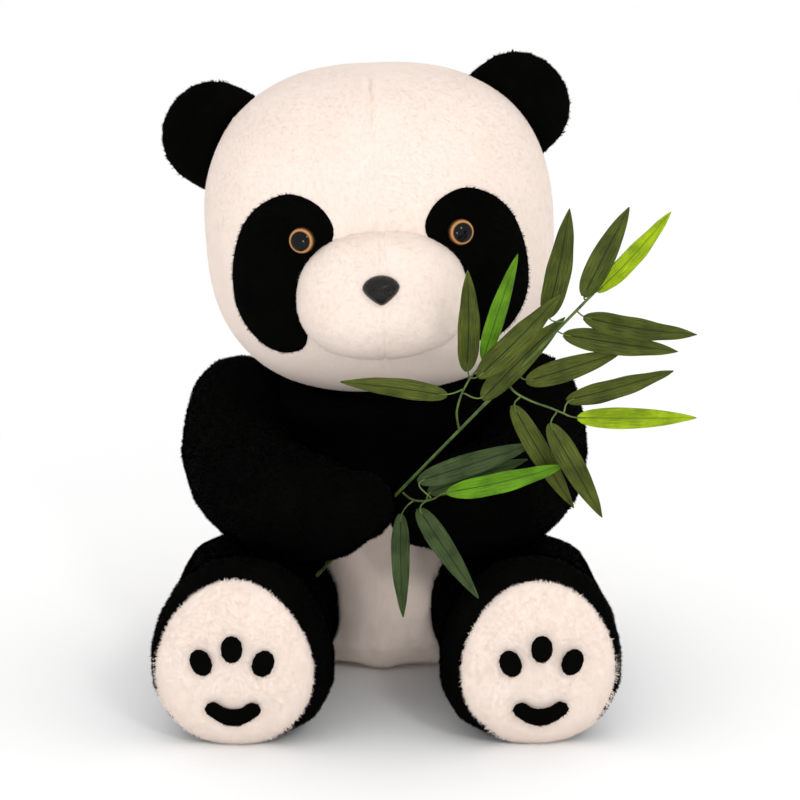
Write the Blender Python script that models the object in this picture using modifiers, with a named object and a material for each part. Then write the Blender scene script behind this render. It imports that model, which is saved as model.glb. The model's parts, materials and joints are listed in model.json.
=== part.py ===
"""Seated plush panda, about half a metre tall, hugging a sprig of artificial bamboo.

Metres, +Z up. The panda sits on the plane Z = 0 and faces -Y. The origin is on the flat seat
panel. "left" and "right" are the panda's own: its right side is at -X.

Every plush part is a 3 mm fabric cover over a stuffing core. The neck is a round plug between
two sockets. The arms and legs end in rounded roots that sit in recesses of the torso, so each
one turns about its own sewn seam without touching its neighbours.
"""

from math import acos, asin, atan2, cos, pi, radians, sin

import bmesh
import bpy
from mathutils import Matrix, Vector

X_AXIS = Vector((1, 0, 0))
Z_AXIS = Vector((0, 0, 1))
SIDES = {"right": -1, "left": 1}

# fabric and clearances
FABRIC = 0.003  # thickness of the plush backing with its pile pressed flat
CORE_INSET = 0.0036  # the stuffing starts this far inside a cover's outer face
JOINT_GAP = 0.0009  # between two parts that move on each other
TURNING_GAP = 0.0020  # round a limb's ball-shaped end, which turns against flat facets
FAR = 0.3  # beyond every part of the panda, for cutting boxes

# how finely each form is made: sides round it, or segments and rings
TORSO_SIDES = 22
ARM_SIDES = 12
LEG_SIDES = 16
SOLE_SIDES = 18
SEAT_SIDES = 32
ROOM_SIDES = 24
HIP_ROOM_RINGS = 12
HEAD_MESH = (20, 14)
MUZZLE_MESH = (18, 12)
NECK_MESH = (16, 9)
EAR_MESH = (16, 10)
TAIL_MESH = (12, 8)
BALL_ROOM_MESH = (24, 16)

# where the rings of a round end lie, as angles from its widest ring to its pole
CAP_ANGLES = (0.4, 0.8, 1.2)
SHOULDER_ANGLES = (1.15, 0.75, 0.35)
SOLE_ANGLES = (0.0, 0.4, 0.85)
REST_GAP = 0.0005  # between two parts that are sewn together
EAR_GAP = 0.005  # the ears' seams leave them this much room to bend

# torso, as rings from the seat up: height, half width, half depth, middle Y
TORSO_RINGS = (
    (0.000, 0.070, 0.074, 0.004),
    (0.007, 0.090, 0.096, 0.004),
    (0.025, 0.102, 0.109, 0.004),
    (0.055, 0.107, 0.112, 0.004),
    (0.085, 0.105, 0.107, 0.006),
    (0.115, 0.099, 0.099, 0.008),
    (0.145, 0.093, 0.089, 0.009),
    (0.170, 0.090, 0.080, 0.009),
    (0.190, 0.085, 0.074, 0.008),
    (0.206, 0.075, 0.066, 0.006),
    (0.218, 0.056, 0.052, 0.004),
)
TORSO_TOP = (0.2235, 0.004)  # height and Y of the neck end
YOKE_HEIGHT = 0.150  # black above this seam, white below it
SEAM_GAP = 0.0004
SEAT_HALF = (0.066, 0.070)
SEAT_CENTRE_Y = 0.004
TAIL_CENTRE = Vector((0.0, 0.124, 0.062))
TAIL_RADII = (0.024, 0.024, 0.021)

# neck and head
NECK_CENTRE = Vector((0.0, 0.0, 0.228))
NECK_RADIUS = 0.036
HEAD_CENTRE = Vector((-0.0035, -0.030, 0.367))
HEAD_ROLL = radians(-3.0)  # the panda's left ear stands a little higher
HEAD_RADII = (0.1455, 0.133, 0.1365)
HEAD_POWER = 2.45
MUZZLE_CENTRE = Vector((0.0015, -0.115, -0.040))
MUZZLE_RADII = (0.0688, 0.057, 0.0475)
MUZZLE_POWER = 2.3

# face, in the head's own frame; the patch outline is the panda's right one, seen from the front
PATCH_OUTLINE = (
    (-0.036, 0.012), (-0.040, 0.028), (-0.052, 0.039), (-0.069, 0.0435),
    (-0.088, 0.036), (-0.101, 0.023), (-0.109, 0.006), (-0.114, -0.017),
    (-0.114, -0.042), (-0.107, -0.061), (-0.094, -0.076), (-0.078, -0.081),
    (-0.062, -0.073), (-0.059, -0.045), (-0.050, -0.015),
)
PATCH_CUT_HALF_DEPTH = 0.05  # the patch's outline cuts the head's cover this far about PATCH_CUT_Y
PATCH_CUT_Y = -0.09
PATCH_ROOM_SCALE = 1.012  # the hole for a patch is this much larger than the patch
EYE_PLACE = {"right": (-0.0580, 0.011), "left": (0.0645, 0.011)}
EYE_RADIUS = 0.0105
EYE_HEIGHT = 0.0075
NOSE_HEIGHT_ON_MUZZLE = 0.0165
NOSE_HALF = (0.0141, 0.0115)
NOSE_DEPTH = 0.010
POST_RADIUS = 0.0022
POST_LENGTH = 0.016
WASHER_DEPTH = 0.0072  # of the washer's middle below the fabric's outer face
WASHER_RADII = (0.0062, 0.0033)
POCKET_RADIUS = 0.0112
POCKET_START = 0.0052
NOSE_POCKET_DEPTH = 0.09
POCKET_SPAN = (-0.024, 0.004)  # behind and in front of the fabric's outer face
POST_ROOM_SPAN = (-0.02, 0.01)

# ears: the angle from the head's top to each ear, then one shape for both
EAR_ANGLE = {"right": radians(59.0), "left": radians(53.0)}
EAR_DISTANCE = 0.152
EAR_HINGE_DISTANCE = 0.149
EAR_RADII = (0.044, 0.0155, 0.044)
EAR_BACK = 0.014
EAR_POWER = 2.1

# arms: middle line from the shoulder to the paw, then the radius at each point
ARM_LINE = {
    "right": (
        (0.120, 0.004, 0.198, 0.049), (0.122, -0.030, 0.187, 0.050), (0.117, -0.072, 0.172, 0.050),
        (0.098, -0.118, 0.165, 0.050), (0.070, -0.163, 0.164, 0.048), (0.040, -0.193, 0.168, 0.041),
        (0.018, -0.204, 0.175, 0.030),
    ),
    "left": (
        (0.120, 0.004, 0.198, 0.049), (0.123, -0.028, 0.187, 0.050), (0.119, -0.062, 0.171, 0.050),
        (0.104, -0.099, 0.161, 0.050), (0.080, -0.128, 0.158, 0.048), (0.055, -0.142, 0.157, 0.043),
        (0.035, -0.148, 0.157, 0.033),
    ),
}
ARM_SAMPLES = 8  # along a sleeve's line
ARM_HOLE_RADIUS = 0.026  # the sewn-in end of a sleeve
ARM_HOLE_SPAN = (0.08, 0.03)  # its cutter starts and ends this far inwards of the shoulder

# legs: from the hip forward, then half width, half height, height of the middle, egg shape
HIP = (0.098, -0.045)
LEG_TURN = {"right": radians(2.8), "left": radians(4.6)}  # the feet point this far outwards
LEG_POWER = 2.3  # a leg's section is a little squarer than an ellipse
LEG_RINGS = (
    (0.000, 0.0730, 0.0555, 0.0560, 0.00),
    (0.055, 0.0625, 0.0530, 0.0540, 0.00),
    (0.120, 0.0610, 0.0535, 0.0545, 0.03),
    (0.156, 0.0615, 0.0560, 0.0570, 0.06),
    (0.172, 0.0670, 0.0670, 0.0670, 0.10),
    (0.188, 0.0700, 0.0725, 0.0725, 0.13),
    (0.202, 0.0700, 0.0735, 0.0735, 0.14),
    (0.2165, 0.0660, 0.0700, 0.0720, 0.14),
)
LEG_OPENING_DEPTH = 0.02
LEG_OPENING_SHARE = 0.72  # of the foot's front, left open behind the sole
SOLE_START = 0.2170
SOLE_HALF = (0.0628, 0.0675)
SOLE_CENTRE = (0.004, 0.0700)  # a little outwards, and its height
SOLE_BULGE = 0.014
SOLE_EGG = 0.14
SOLE_POWER = 2.05
PAD_THICKNESS = 0.0016
PAD_GAP = 0.0004
TOES = {"inner": (-0.0235, 0.001, -22), "middle": (0.0, 0.012, 0), "outer": (0.0235, 0.001, 22)}
TOE_HALF = (0.0078, 0.0104)
HEEL_HALF_WIDTH = 0.0212
HEEL_BAND = 0.0066  # half of the heel pad's own width
HEEL_SAG = 0.0062
HEEL_HEIGHT = -0.040

# bamboo: a straight wire stem through the hug, and three twigs that lean forward from it
STEM_BOTTOM = Vector((-0.0535, -0.142, 0.0995))
STEM_TOP = Vector((0.1400, -0.240, 0.3295))
STEM_FORK = Vector((0.1475, -0.2445, 0.3385))
STEM_RADIUS = 0.0017
TWIG_RADIUS = 0.0012
TWIGS = {
    "upper_twig": ((0.0590, -0.2028, 0.2352), (0.0572, -0.216, 0.2465), (0.0569, -0.224, 0.2556),
                   (0.0597, -0.231, 0.2682), (0.0632, -0.236, 0.2770), (0.0655, -0.239, 0.2820)),
    "side_twig": ((0.0960, -0.2195, 0.2735), (0.1010, -0.2250, 0.2690), (0.1082, -0.2275, 0.2652),
                  (0.1164, -0.2300, 0.2620), (0.1268, -0.2330, 0.2590), (0.1365, -0.2360, 0.2555)),
    "lower_twig": ((0.0160, -0.1800, 0.1785), (0.0215, -0.1950, 0.1780), (0.0275, -0.2060, 0.1790),
                   (0.0345, -0.2130, 0.1812), (0.0400, -0.2180, 0.1842), (0.0430, -0.2210, 0.1870)),
}
# each leaf: base, tip, width and how far its blade is rolled about its own length in degrees
LEAVES = {
    "leaf_01": ((0.064, -0.238, 0.288), (0.064, -0.232, 0.364), 0.0175, 15),
    "leaf_02": ((0.076, -0.234, 0.296), (0.101, -0.237, 0.377), 0.0130, -10),
    "leaf_03": ((0.072, -0.246, 0.285), (0.132, -0.257, 0.350), 0.0200, 10),
    "leaf_05": ((0.123, -0.246, 0.330), (0.139, -0.237, 0.411), 0.0195, 12),
    "leaf_06": ((0.149, -0.2545, 0.348), (0.181, -0.2585, 0.415), 0.0180, -12),
    "leaf_07": ((0.160, -0.2465, 0.350), (0.212, -0.2540, 0.411), 0.0145, 8),
    "leaf_08": ((0.150, -0.243, 0.330), (0.234, -0.252, 0.319), 0.0185, 18),
    "leaf_09": ((0.136, -0.233, 0.315), (0.222, -0.236, 0.303), 0.0180, 5),
    "leaf_10": ((0.109, -0.223, 0.277), (0.181, -0.227, 0.301), 0.0180, -10),
    "leaf_11": ((0.139, -0.236, 0.265), (0.218, -0.245, 0.290), 0.0165, 8),
    "leaf_12": ((0.147, -0.241, 0.253), (0.235, -0.253, 0.256), 0.0160, -8),
    "leaf_13": ((0.099, -0.2205, 0.258), (0.147, -0.2195, 0.177), 0.0165, 6),
    "leaf_14": ((0.126, -0.235, 0.247), (0.168, -0.231, 0.173), 0.0180, -6),
    "leaf_15": ((0.049, -0.241, 0.2705), (-0.031, -0.247, 0.282), 0.0150, 25),
    "leaf_16": ((0.027, -0.2165, 0.197), (0.117, -0.2145, 0.227), 0.0180, -8),
    "leaf_18": ((0.049, -0.226, 0.1905), (0.140, -0.234, 0.215), 0.0165, 5),
    "leaf_19": ((0.0275, -0.219, 0.1765), (0.072, -0.284, 0.1250), 0.0165, -8),
    "leaf_20": ((0.014, -0.203, 0.168), (0.016, -0.212, 0.087), 0.0145, 10),
}
LEAF_THICKNESS = 0.0010
LEAF_ARCH = 0.004
LEAF_FOLD = 0.0016  # how far the midrib lies behind the blade's edges
# share of the length, share of the width
LEAF_PROFILE = ((0.0, 0.16), (0.10, 0.75), (0.32, 1.0), (0.66, 0.72), (1.0, 0.05))


def clear_scene():
    for thing in list(bpy.data.objects):
        bpy.data.objects.remove(thing, do_unlink=True)


clear_scene()
PARTS = bpy.data.collections.new("plush_panda")
TOOLS = bpy.data.collections.new("cutters")
bpy.context.scene.collection.children.link(PARTS)
bpy.context.scene.collection.children.link(TOOLS)


# ---- materials


def material(name, colour, roughness):
    made = bpy.data.materials.new(name)
    made.use_nodes = True
    shader = made.node_tree.nodes["Principled BSDF"]
    shader.inputs["Base Color"].default_value = (*colour, 1.0)
    shader.inputs["Roughness"].default_value = roughness
    shader.inputs["Metallic"].default_value = 0.0
    return made


WHITE_PLUSH = material("white_plush", (0.93, 0.86, 0.79), 0.95)
BLACK_PLUSH = material("black_plush", (0.012, 0.011, 0.012), 0.9)
STUFFING = material("stuffing", (0.90, 0.90, 0.88), 1.0)
EYE_PLASTIC = material("eye_plastic", (0.02, 0.012, 0.008), 0.08)
NOSE_PLASTIC = material("nose_plastic", (0.02, 0.02, 0.022), 0.35)
WASHER_PLASTIC = material("washer_plastic", (0.85, 0.85, 0.83), 0.4)
STEM_PLASTIC = material("stem_plastic", (0.10, 0.20, 0.05), 0.5)
DARK_LEAF = material("dark_leaf", (0.09, 0.15, 0.05), 0.5)
LIME_LEAF = material("lime_leaf", (0.25, 0.50, 0.04), 0.45)
LIME_LEAVES = ("leaf_02", "leaf_07", "leaf_12", "leaf_18")


# ---- placing


def empty(name, location, parent=None, rotation=None):
    made = bpy.data.objects.new(name, None)
    made.location = location
    if rotation:
        made.rotation_euler = rotation
    PARTS.objects.link(made)
    if parent:
        made.parent = parent
        made.matrix_parent_inverse = parent.matrix_world.inverted()
    bpy.context.view_layer.update()
    return made


def part(name, mesh, look, parent, in_parent_frame=False):
    """A visible sub-part. Its mesh is in world coordinates unless in_parent_frame is true."""
    made = bpy.data.objects.new(name, mesh)
    mesh.materials.clear()
    mesh.materials.append(look)
    mesh.shade_smooth()
    PARTS.objects.link(made)
    made.parent = parent
    if not in_parent_frame:
        made.matrix_parent_inverse = parent.matrix_world.inverted()
    return made


def cutter(name, mesh, parent=None):
    made = bpy.data.objects.new(name, mesh)
    TOOLS.objects.link(made)
    made.parent = parent
    made.hide_render = True
    made.display_type = "WIRE"
    return made


def boolean(target, tool, operation="DIFFERENCE"):
    step = target.modifiers.new(tool.name, "BOOLEAN")
    step.operation = operation
    step.object = tool
    step.solver = "EXACT"


def hollow(target):
    """Turn a closed outer form into a fabric wall; the openings are cut after this."""
    wall = target.modifiers.new("fabric", "SOLIDIFY")
    wall.thickness = FABRIC
    wall.offset = -1.0
    wall.use_even_offset = True


# ---- forms


def to_mesh(name, form):
    bmesh.ops.recalc_face_normals(form, faces=form.faces)
    if form.calc_volume(signed=True) < 0:
        bmesh.ops.reverse_faces(form, faces=form.faces)
    mesh = bpy.data.meshes.new(name)
    form.to_mesh(mesh)
    form.free()
    return mesh


def grown(mesh, distance):
    """A copy with each point moved out along its normal, or in when distance is negative."""
    form = bmesh.new()
    form.from_mesh(mesh)
    form.normal_update()
    moves = [(v, v.normal * v.calc_shell_factor() * distance) for v in form.verts]
    for vertex, move in moves:
        vertex.co += move
    return to_mesh(mesh.name + "_grown", form)


def rounded_form(name, radii, power, segments, rings, centre=Vector()):
    """A squarish ellipsoid: |x/a|^power + |y/b|^power + |z/c|^power = 1."""
    form = bmesh.new()
    bmesh.ops.create_uvsphere(form, u_segments=segments, v_segments=rings, radius=1.0)
    for vertex in form.verts:
        size = sum(abs(value) ** power for value in vertex.co) ** (1.0 / power)
        vertex.co = centre + Vector([radii[i] * vertex.co[i] / size for i in range(3)])
    return to_mesh(name, form)


def loft(name, rings, ends, sides, power=2.0, lowest=None):
    """A closed body through oval rings: (centre, across, upwards, half width, half height, egg).

    It starts as a sphere whose circles are moved onto the rings; ends are the two poles.
    A power over 2 makes the rings squarer, and a ring's egg value makes its lower half the
    wider one. Nothing goes below lowest.
    """
    count = len(rings) + 1
    form = bmesh.new()
    bmesh.ops.create_uvsphere(form, u_segments=sides, v_segments=count, radius=1.0)
    for vertex in form.verts:
        index = round(acos(max(-1.0, min(1.0, vertex.co.z))) / pi * count)
        turn = atan2(vertex.co.y, vertex.co.x)
        if index == 0:
            vertex.co = ends[0]
        elif index == count:
            vertex.co = ends[1]
        else:
            centre, across, upwards, width, height, egg = rings[index - 1]
            size = (abs(cos(turn)) ** power + abs(sin(turn)) ** power) ** (1.0 / power)
            sideways = width * cos(turn) / size * (1.0 - egg * sin(turn))
            vertex.co = centre + across * sideways + upwards * (height * sin(turn) / size)
        if lowest is not None:
            vertex.co.z = max(vertex.co.z, lowest)
    return to_mesh(name, form)


def round_line(points, samples):
    """Points and radii along a smooth line through (x, y, z, radius) points."""
    made = []
    last = len(points) - 1
    for step in range(samples + 1):
        along = step * last / samples
        index = min(int(along), last - 1)
        t = along - index
        quad = [points[max(0, min(last, index + shift))] for shift in (-1, 0, 1, 2)]
        value = [
            0.5 * (2 * b + (c - a) * t + (2 * a - 5 * b + 4 * c - d) * t**2
                   + (3 * b - a - 3 * c + d) * t**3)
            for a, b, c, d in zip(*quad)
        ]
        made.append((Vector(value[:3]), value[3]))
    return made


def tube_mesh(name, points, radius, resolution):
    """A round wire with filled caps, as a mesh that a Boolean can use."""
    curve = bpy.data.curves.new(name, "CURVE")
    curve.dimensions = "3D"
    curve.bevel_depth = radius
    curve.bevel_resolution = resolution
    curve.use_fill_caps = True
    spline = curve.splines.new("POLY")
    spline.points.add(len(points) - 1)
    for point, place in zip(spline.points, points):
        point.co = (*place, 1.0)
    holder = bpy.data.objects.new(name, curve)
    TOOLS.objects.link(holder)
    graph = bpy.context.evaluated_depsgraph_get()
    mesh = bpy.data.meshes.new_from_object(holder.evaluated_get(graph))
    bpy.data.objects.remove(holder, do_unlink=True)
    form = bmesh.new()
    form.from_mesh(mesh)
    bmesh.ops.remove_doubles(form, verts=form.verts, dist=0.00005)
    return to_mesh(name, form)


def slab_mesh(name, outline, half_thickness, resolution=2):
    """A flat outline in X and Y with thickness along Z, as a closed mesh."""
    curve = bpy.data.curves.new(name, "CURVE")
    curve.dimensions = "2D"
    curve.fill_mode = "BOTH"
    curve.extrude = half_thickness
    curve.resolution_u = resolution
    spline = curve.splines.new("BEZIER")
    spline.bezier_points.add(len(outline) - 1)
    for point, (x, y) in zip(spline.bezier_points, outline):
        point.co = (x, y, 0.0)
        point.handle_left_type = point.handle_right_type = "AUTO"
    spline.use_cyclic_u = True
    holder = bpy.data.objects.new(name, curve)
    TOOLS.objects.link(holder)
    graph = bpy.context.evaluated_depsgraph_get()
    mesh = bpy.data.meshes.new_from_object(holder.evaluated_get(graph))
    bpy.data.objects.remove(holder, do_unlink=True)
    form = bmesh.new()
    form.from_mesh(mesh)
    bmesh.ops.remove_doubles(form, verts=form.verts, dist=0.00005)
    return to_mesh(name, form)


def rod_mesh(name, radius, start, end, sides=12):
    """A plain cylinder along local Z."""
    form = bmesh.new()
    place = Matrix.Translation((0, 0, (start + end) / 2))
    bmesh.ops.create_cone(form, cap_ends=True, segments=sides, radius1=radius, radius2=radius,
                          depth=end - start, matrix=place)
    return to_mesh(name, form)


def box_mesh(name, low, high):
    form = bmesh.new()
    bmesh.ops.create_cube(form, size=1.0)
    low, high = Vector(low), Vector(high)
    for vertex in form.verts:
        vertex.co = (low + high) / 2 + Vector([vertex.co[i] * (high - low)[i] for i in range(3)])
    return to_mesh(name, form)


def facing(place, direction):
    """A frame at place whose Z axis is direction and whose Y axis is as near up as it can be."""
    forward = direction.normalized()
    across = Z_AXIS.cross(forward).normalized()
    upwards = forward.cross(across)
    frame = Matrix((across, upwards, forward)).transposed().to_4x4()
    return Matrix.Translation(place) @ frame


def moved(mesh, matrix):
    mesh.transform(matrix)
    return mesh


def turned(name, profile, sides=12, upwards_scale=1.0, egg=0.0):
    """A turned body along local Z through (z, radius) rings; the first and last are its poles."""
    rings = [
        (Vector((0, 0, z)), X_AXIS, Vector((0, 1, 0)), radius, radius * upwards_scale, egg)
        for z, radius in profile[1:-1]
    ]
    ends = (Vector((0, 0, profile[0][0])), Vector((0, 0, profile[-1][0])))
    return loft(name, rings, ends, sides)


# ---- torso


def torso_form():
    across, forward = X_AXIS, Vector((0, -1, 0))
    rings = [
        (Vector((0, middle, height)), across, forward, width, depth, 0.0)
        for height, width, depth, middle in reversed(TORSO_RINGS)
    ]
    ends = (Vector((0, TORSO_TOP[1], TORSO_TOP[0])), Vector((0, TORSO_RINGS[0][3], 0)))
    return loft("torso_form", rings, ends, TORSO_SIDES)


def build_torso(frame, rooms):
    outer = torso_form()
    socket = cutter("neck_room", rounded_form("neck_room", [NECK_RADIUS + JOINT_GAP] * 3, 2.0,
                                              *NECK_MESH, NECK_CENTRE))
    above = cutter("above_yoke_seam", box_mesh("above_yoke_seam", (-FAR, -FAR, YOKE_HEIGHT),
                                               (FAR, FAR, FAR)))
    below = cutter("below_yoke_seam", box_mesh("below_yoke_seam", (-FAR, -FAR, -FAR),
                                               (FAR, FAR, YOKE_HEIGHT - SEAM_GAP)))
    seat_room = cutter("seat_room", rod_mesh("seat_room", 1.0, -FABRIC, 2 * FABRIC, SEAT_SIDES))
    seat_room.data.transform(Matrix.Diagonal((SEAT_HALF[0] + SEAM_GAP, SEAT_HALF[1] + SEAM_GAP, 1,
                                              1)))
    seat_room.data.transform(Matrix.Translation((0, SEAT_CENTRE_Y, 0)))
    stuffing = part("torso_stuffing", grown(outer, -CORE_INSET), STUFFING, frame)
    yoke = part("shoulder_yoke", outer.copy(), BLACK_PLUSH, frame)
    lower = part("lower_body_cover", outer.copy(), WHITE_PLUSH, frame)
    for cover, keep in ((yoke, above), (lower, below)):
        hollow(cover)
        boolean(cover, keep, "INTERSECT")
    boolean(yoke, socket)
    boolean(stuffing, socket)
    boolean(lower, seat_room)
    for room in rooms:
        boolean(stuffing, room)
        boolean(yoke if "arm" in room.name else lower, room)

    seat = rod_mesh("seat_panel", 1.0, 0.0, FABRIC, SEAT_SIDES)
    seat.transform(Matrix.Diagonal((*SEAT_HALF, 1, 1)))
    seat.transform(Matrix.Translation((0, SEAT_CENTRE_Y, 0)))
    seat_panel = part("seat_panel", seat, WHITE_PLUSH, frame)
    for room in rooms:
        if "leg" in room.name:
            boolean(seat_panel, room)

    tail = part("tail", rounded_form("tail", TAIL_RADII, 2.0, *TAIL_MESH, TAIL_CENTRE), WHITE_PLUSH,
                frame)
    boolean(tail, cutter("torso_room", grown(outer, REST_GAP)))
    return outer


# ---- head, built about its own centre


def head_surface(x, z):
    """The head's front at x, z in its own frame: the point and the outward direction there."""
    a, b, c = HEAD_RADII
    rest = 1.0 - abs(x / a) ** HEAD_POWER - abs(z / c) ** HEAD_POWER
    y = -b * rest ** (1.0 / HEAD_POWER)
    return Vector((x, y, z)), slope((x, y, z), HEAD_RADII, HEAD_POWER)


def muzzle_surface(height):
    """The muzzle's front at its middle, height above its centre: the point and its direction."""
    _, b, c = MUZZLE_RADII
    y = -b * (1.0 - abs(height / c) ** MUZZLE_POWER) ** (1.0 / MUZZLE_POWER)
    place = Vector((0, y, height))
    return MUZZLE_CENTRE + place, slope(place, MUZZLE_RADII, MUZZLE_POWER)


def slope(place, radii, power):
    direction = [
        (1 if value > 0 else -1) * abs(value / radius) ** (power - 1) / radius
        for value, radius in zip(place, radii)
    ]
    return Vector(direction).normalized()


def eye_place(side):
    return head_surface(*EYE_PLACE[side])


def patch_prism(name, side, scale):
    """The eye patch's outline, run through the head's front half."""
    middle = Vector((sum(p[0] for p in PATCH_OUTLINE), sum(p[1] for p in PATCH_OUTLINE)))
    middle /= len(PATCH_OUTLINE)
    outline = [
        (-SIDES[side] * (middle.x + (x - middle.x) * scale), middle.y + (z - middle.y) * scale)
        for x, z in PATCH_OUTLINE
    ]
    mesh = slab_mesh(name, outline, PATCH_CUT_HALF_DEPTH)
    # the outline's Y becomes the head's Z, and its thickness lies along Y
    mesh.transform(Matrix.Rotation(radians(90), 4, "X"))
    mesh.transform(Matrix.Translation((0, PATCH_CUT_Y, 0)))
    return mesh


def build_head(frame, neck_room):
    outer = rounded_form("head_form", HEAD_RADII, HEAD_POWER, *HEAD_MESH)
    core = part("head_stuffing", grown(outer, -CORE_INSET), STUFFING, frame, True)
    boolean(core, neck_room)
    covers = {}
    for side, sign in SIDES.items():
        near, far = sorted((sign * SEAM_GAP / 2, sign * FAR))
        cover = part(f"head_{side}_cover", outer.copy(), WHITE_PLUSH, frame, True)
        half = cutter(f"{side}_half", box_mesh(f"{side}_half", (near, -FAR, -FAR),
                                               (far, FAR, FAR)), frame)
        hollow(cover)
        boolean(cover, half, "INTERSECT")
        boolean(cover, neck_room)
        covers[side] = cover

    muzzle_mesh = rounded_form("muzzle", MUZZLE_RADII, MUZZLE_POWER, *MUZZLE_MESH, MUZZLE_CENTRE)
    muzzle = part("muzzle", muzzle_mesh, WHITE_PLUSH, frame, True)
    boolean(muzzle, cutter("head_room", grown(outer, REST_GAP), frame))

    for side in SIDES:
        room = cutter(f"{side}_patch_room", patch_prism(f"{side}_patch_room", side,
                                                             PATCH_ROOM_SCALE), frame)
        boolean(covers[side], room)
        patch = part(f"{side}_eye_patch", outer.copy(), BLACK_PLUSH, frame, True)
        hollow(patch)
        boolean(patch, cutter(f"{side}_patch_edge", patch_prism(f"{side}_patch_edge", side, 1.0),
                              frame), "INTERSECT")
        place, direction = eye_place(side)
        pose = facing(place, direction)
        hole = moved(rod_mesh(f"{side}_post_room", POST_RADIUS + REST_GAP, *POST_ROOM_SPAN), pose)
        boolean(patch, cutter(f"{side}_post_room", hole, frame))
        pocket = moved(rod_mesh(f"{side}_eye_pocket", POCKET_RADIUS, *POCKET_SPAN), pose)
        boolean(core, cutter(f"{side}_eye_pocket", pocket, frame))
        build_eye(side, frame, pose)
    build_nose(frame, muzzle)
    return outer


def build_eye(side, frame, pose):
    profile = [(EYE_HEIGHT, 0), (EYE_HEIGHT * 0.86, EYE_RADIUS * 0.50),
               (EYE_HEIGHT * 0.52, EYE_RADIUS * 0.83), (EYE_HEIGHT * 0.16, EYE_RADIUS),
               (0.0004, EYE_RADIUS), (0.0004, POST_RADIUS), (-POST_LENGTH, POST_RADIUS * 0.8),
               (-POST_LENGTH - 0.001, 0)]
    mesh = moved(turned(f"{side}_eye", profile), pose)
    part(f"{side}_eye", mesh, EYE_PLASTIC, frame, True)
    part(f"{side}_eye_washer", moved(washer_mesh(f"{side}_eye_washer"), pose), WASHER_PLASTIC,
         frame, True)


def washer_mesh(name):
    """The flat push-on ring that locks a post behind the fabric."""
    bpy.ops.mesh.primitive_torus_add(major_segments=12, minor_segments=4,
                                     major_radius=WASHER_RADII[0], minor_radius=WASHER_RADII[1])
    ring = bpy.context.active_object
    mesh = ring.data.copy()
    mesh.name = name
    bpy.data.objects.remove(ring, do_unlink=True)
    mesh.transform(Matrix.Translation((0, 0, -WASHER_DEPTH)) @ Matrix.Diagonal((1, 1, 0.34, 1)))
    return mesh


def build_nose(frame, muzzle):
    """A moulded nose, wide at the top and narrow below, on a post through the muzzle's front."""
    place, direction = muzzle_surface(NOSE_HEIGHT_ON_MUZZLE)
    pose = facing(place, direction)
    ratio = NOSE_HALF[1] / NOSE_HALF[0]
    profile = [(NOSE_DEPTH, 0), (NOSE_DEPTH * 0.9, NOSE_HALF[0] * 0.5),
               (NOSE_DEPTH * 0.55, NOSE_HALF[0] * 0.86), (NOSE_DEPTH * 0.12, NOSE_HALF[0]),
               (0.0004, NOSE_HALF[0] * 0.97), (0.0004, POST_RADIUS), (-POST_LENGTH, POST_RADIUS * 0.8),
               (-POST_LENGTH - 0.001, 0)]
    mesh = moved(turned("nose", profile, upwards_scale=ratio, egg=-0.22), pose)
    part("nose", mesh, NOSE_PLASTIC, frame, True)
    part("nose_washer", moved(washer_mesh("nose_washer"), pose), WASHER_PLASTIC, frame, True)
    hole = moved(rod_mesh("nose_post_room", POST_RADIUS + REST_GAP, *POST_ROOM_SPAN), pose)
    pocket = moved(rod_mesh("nose_pocket", POCKET_RADIUS, -NOSE_POCKET_DEPTH, -POCKET_START), pose)
    boolean(muzzle, cutter("nose_post_room", hole, frame))
    boolean(muzzle, cutter("nose_pocket", pocket, frame))


# ---- ears


def ear_pose(side, distance):
    """A frame on the head's side, with Z pointing out from the head and X along the ear's seam."""
    angle = EAR_ANGLE[side] * SIDES[side]
    outwards = Vector((sin(angle), 0, cos(angle)))
    along = Vector((cos(angle), 0, -sin(angle)))
    frame = Matrix((along, Vector((0, 1, 0)), outwards)).transposed().to_4x4()
    return Matrix.Translation(outwards * distance + Vector((0, EAR_BACK, 0))) @ frame


def build_ear(side, head_frame, head_outer):
    seam = ear_pose(side, EAR_HINGE_DISTANCE)
    pivot = empty(f"{side}_ear_pivot", (0, 0, 0))
    pivot.parent = head_frame
    pivot.matrix_local = seam
    bpy.context.view_layer.update()
    mesh = rounded_form(f"{side}_ear", EAR_RADII, EAR_POWER, *EAR_MESH)
    mesh.transform(seam.inverted() @ ear_pose(side, EAR_DISTANCE))
    ear = part(f"{side}_ear", mesh, BLACK_PLUSH, pivot, True)
    boolean(ear, cutter(f"{side}_ear_room", grown(head_outer, EAR_GAP), head_frame))


# ---- arms


def arm_form(side):
    """A bent sleeve: a round shoulder, the line through the elbow, and a round paw."""
    sign = SIDES[side]
    points = [(sign * x, y, z, radius) for x, y, z, radius in ARM_LINE[side]]
    line = round_line(points, ARM_SAMPLES)
    start = (line[1][0] - line[0][0]).normalized()
    end = (line[-1][0] - line[-2][0]).normalized()
    first, last = line[0], line[-1]
    stations = [(first[0] - start * first[1] * sin(a), first[1] * cos(a)) for a in SHOULDER_ANGLES]
    stations += line
    stations += [(last[0] + end * last[1] * sin(a), last[1] * cos(a)) for a in CAP_ANGLES]
    ends = (first[0] - start * first[1], last[0] + end * last[1])
    rings = []
    for index, (centre, radius) in enumerate(stations):
        before = stations[index - 1][0] if index else ends[0]
        after = stations[index + 1][0] if index + 1 < len(stations) else ends[1]
        along = (after - before).normalized()
        across = along.cross(Z_AXIS).normalized()
        rings.append((centre, across, across.cross(along), radius, radius, 0.0))
    return loft(f"{side}_arm_form", rings, ends, ARM_SIDES)


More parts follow.
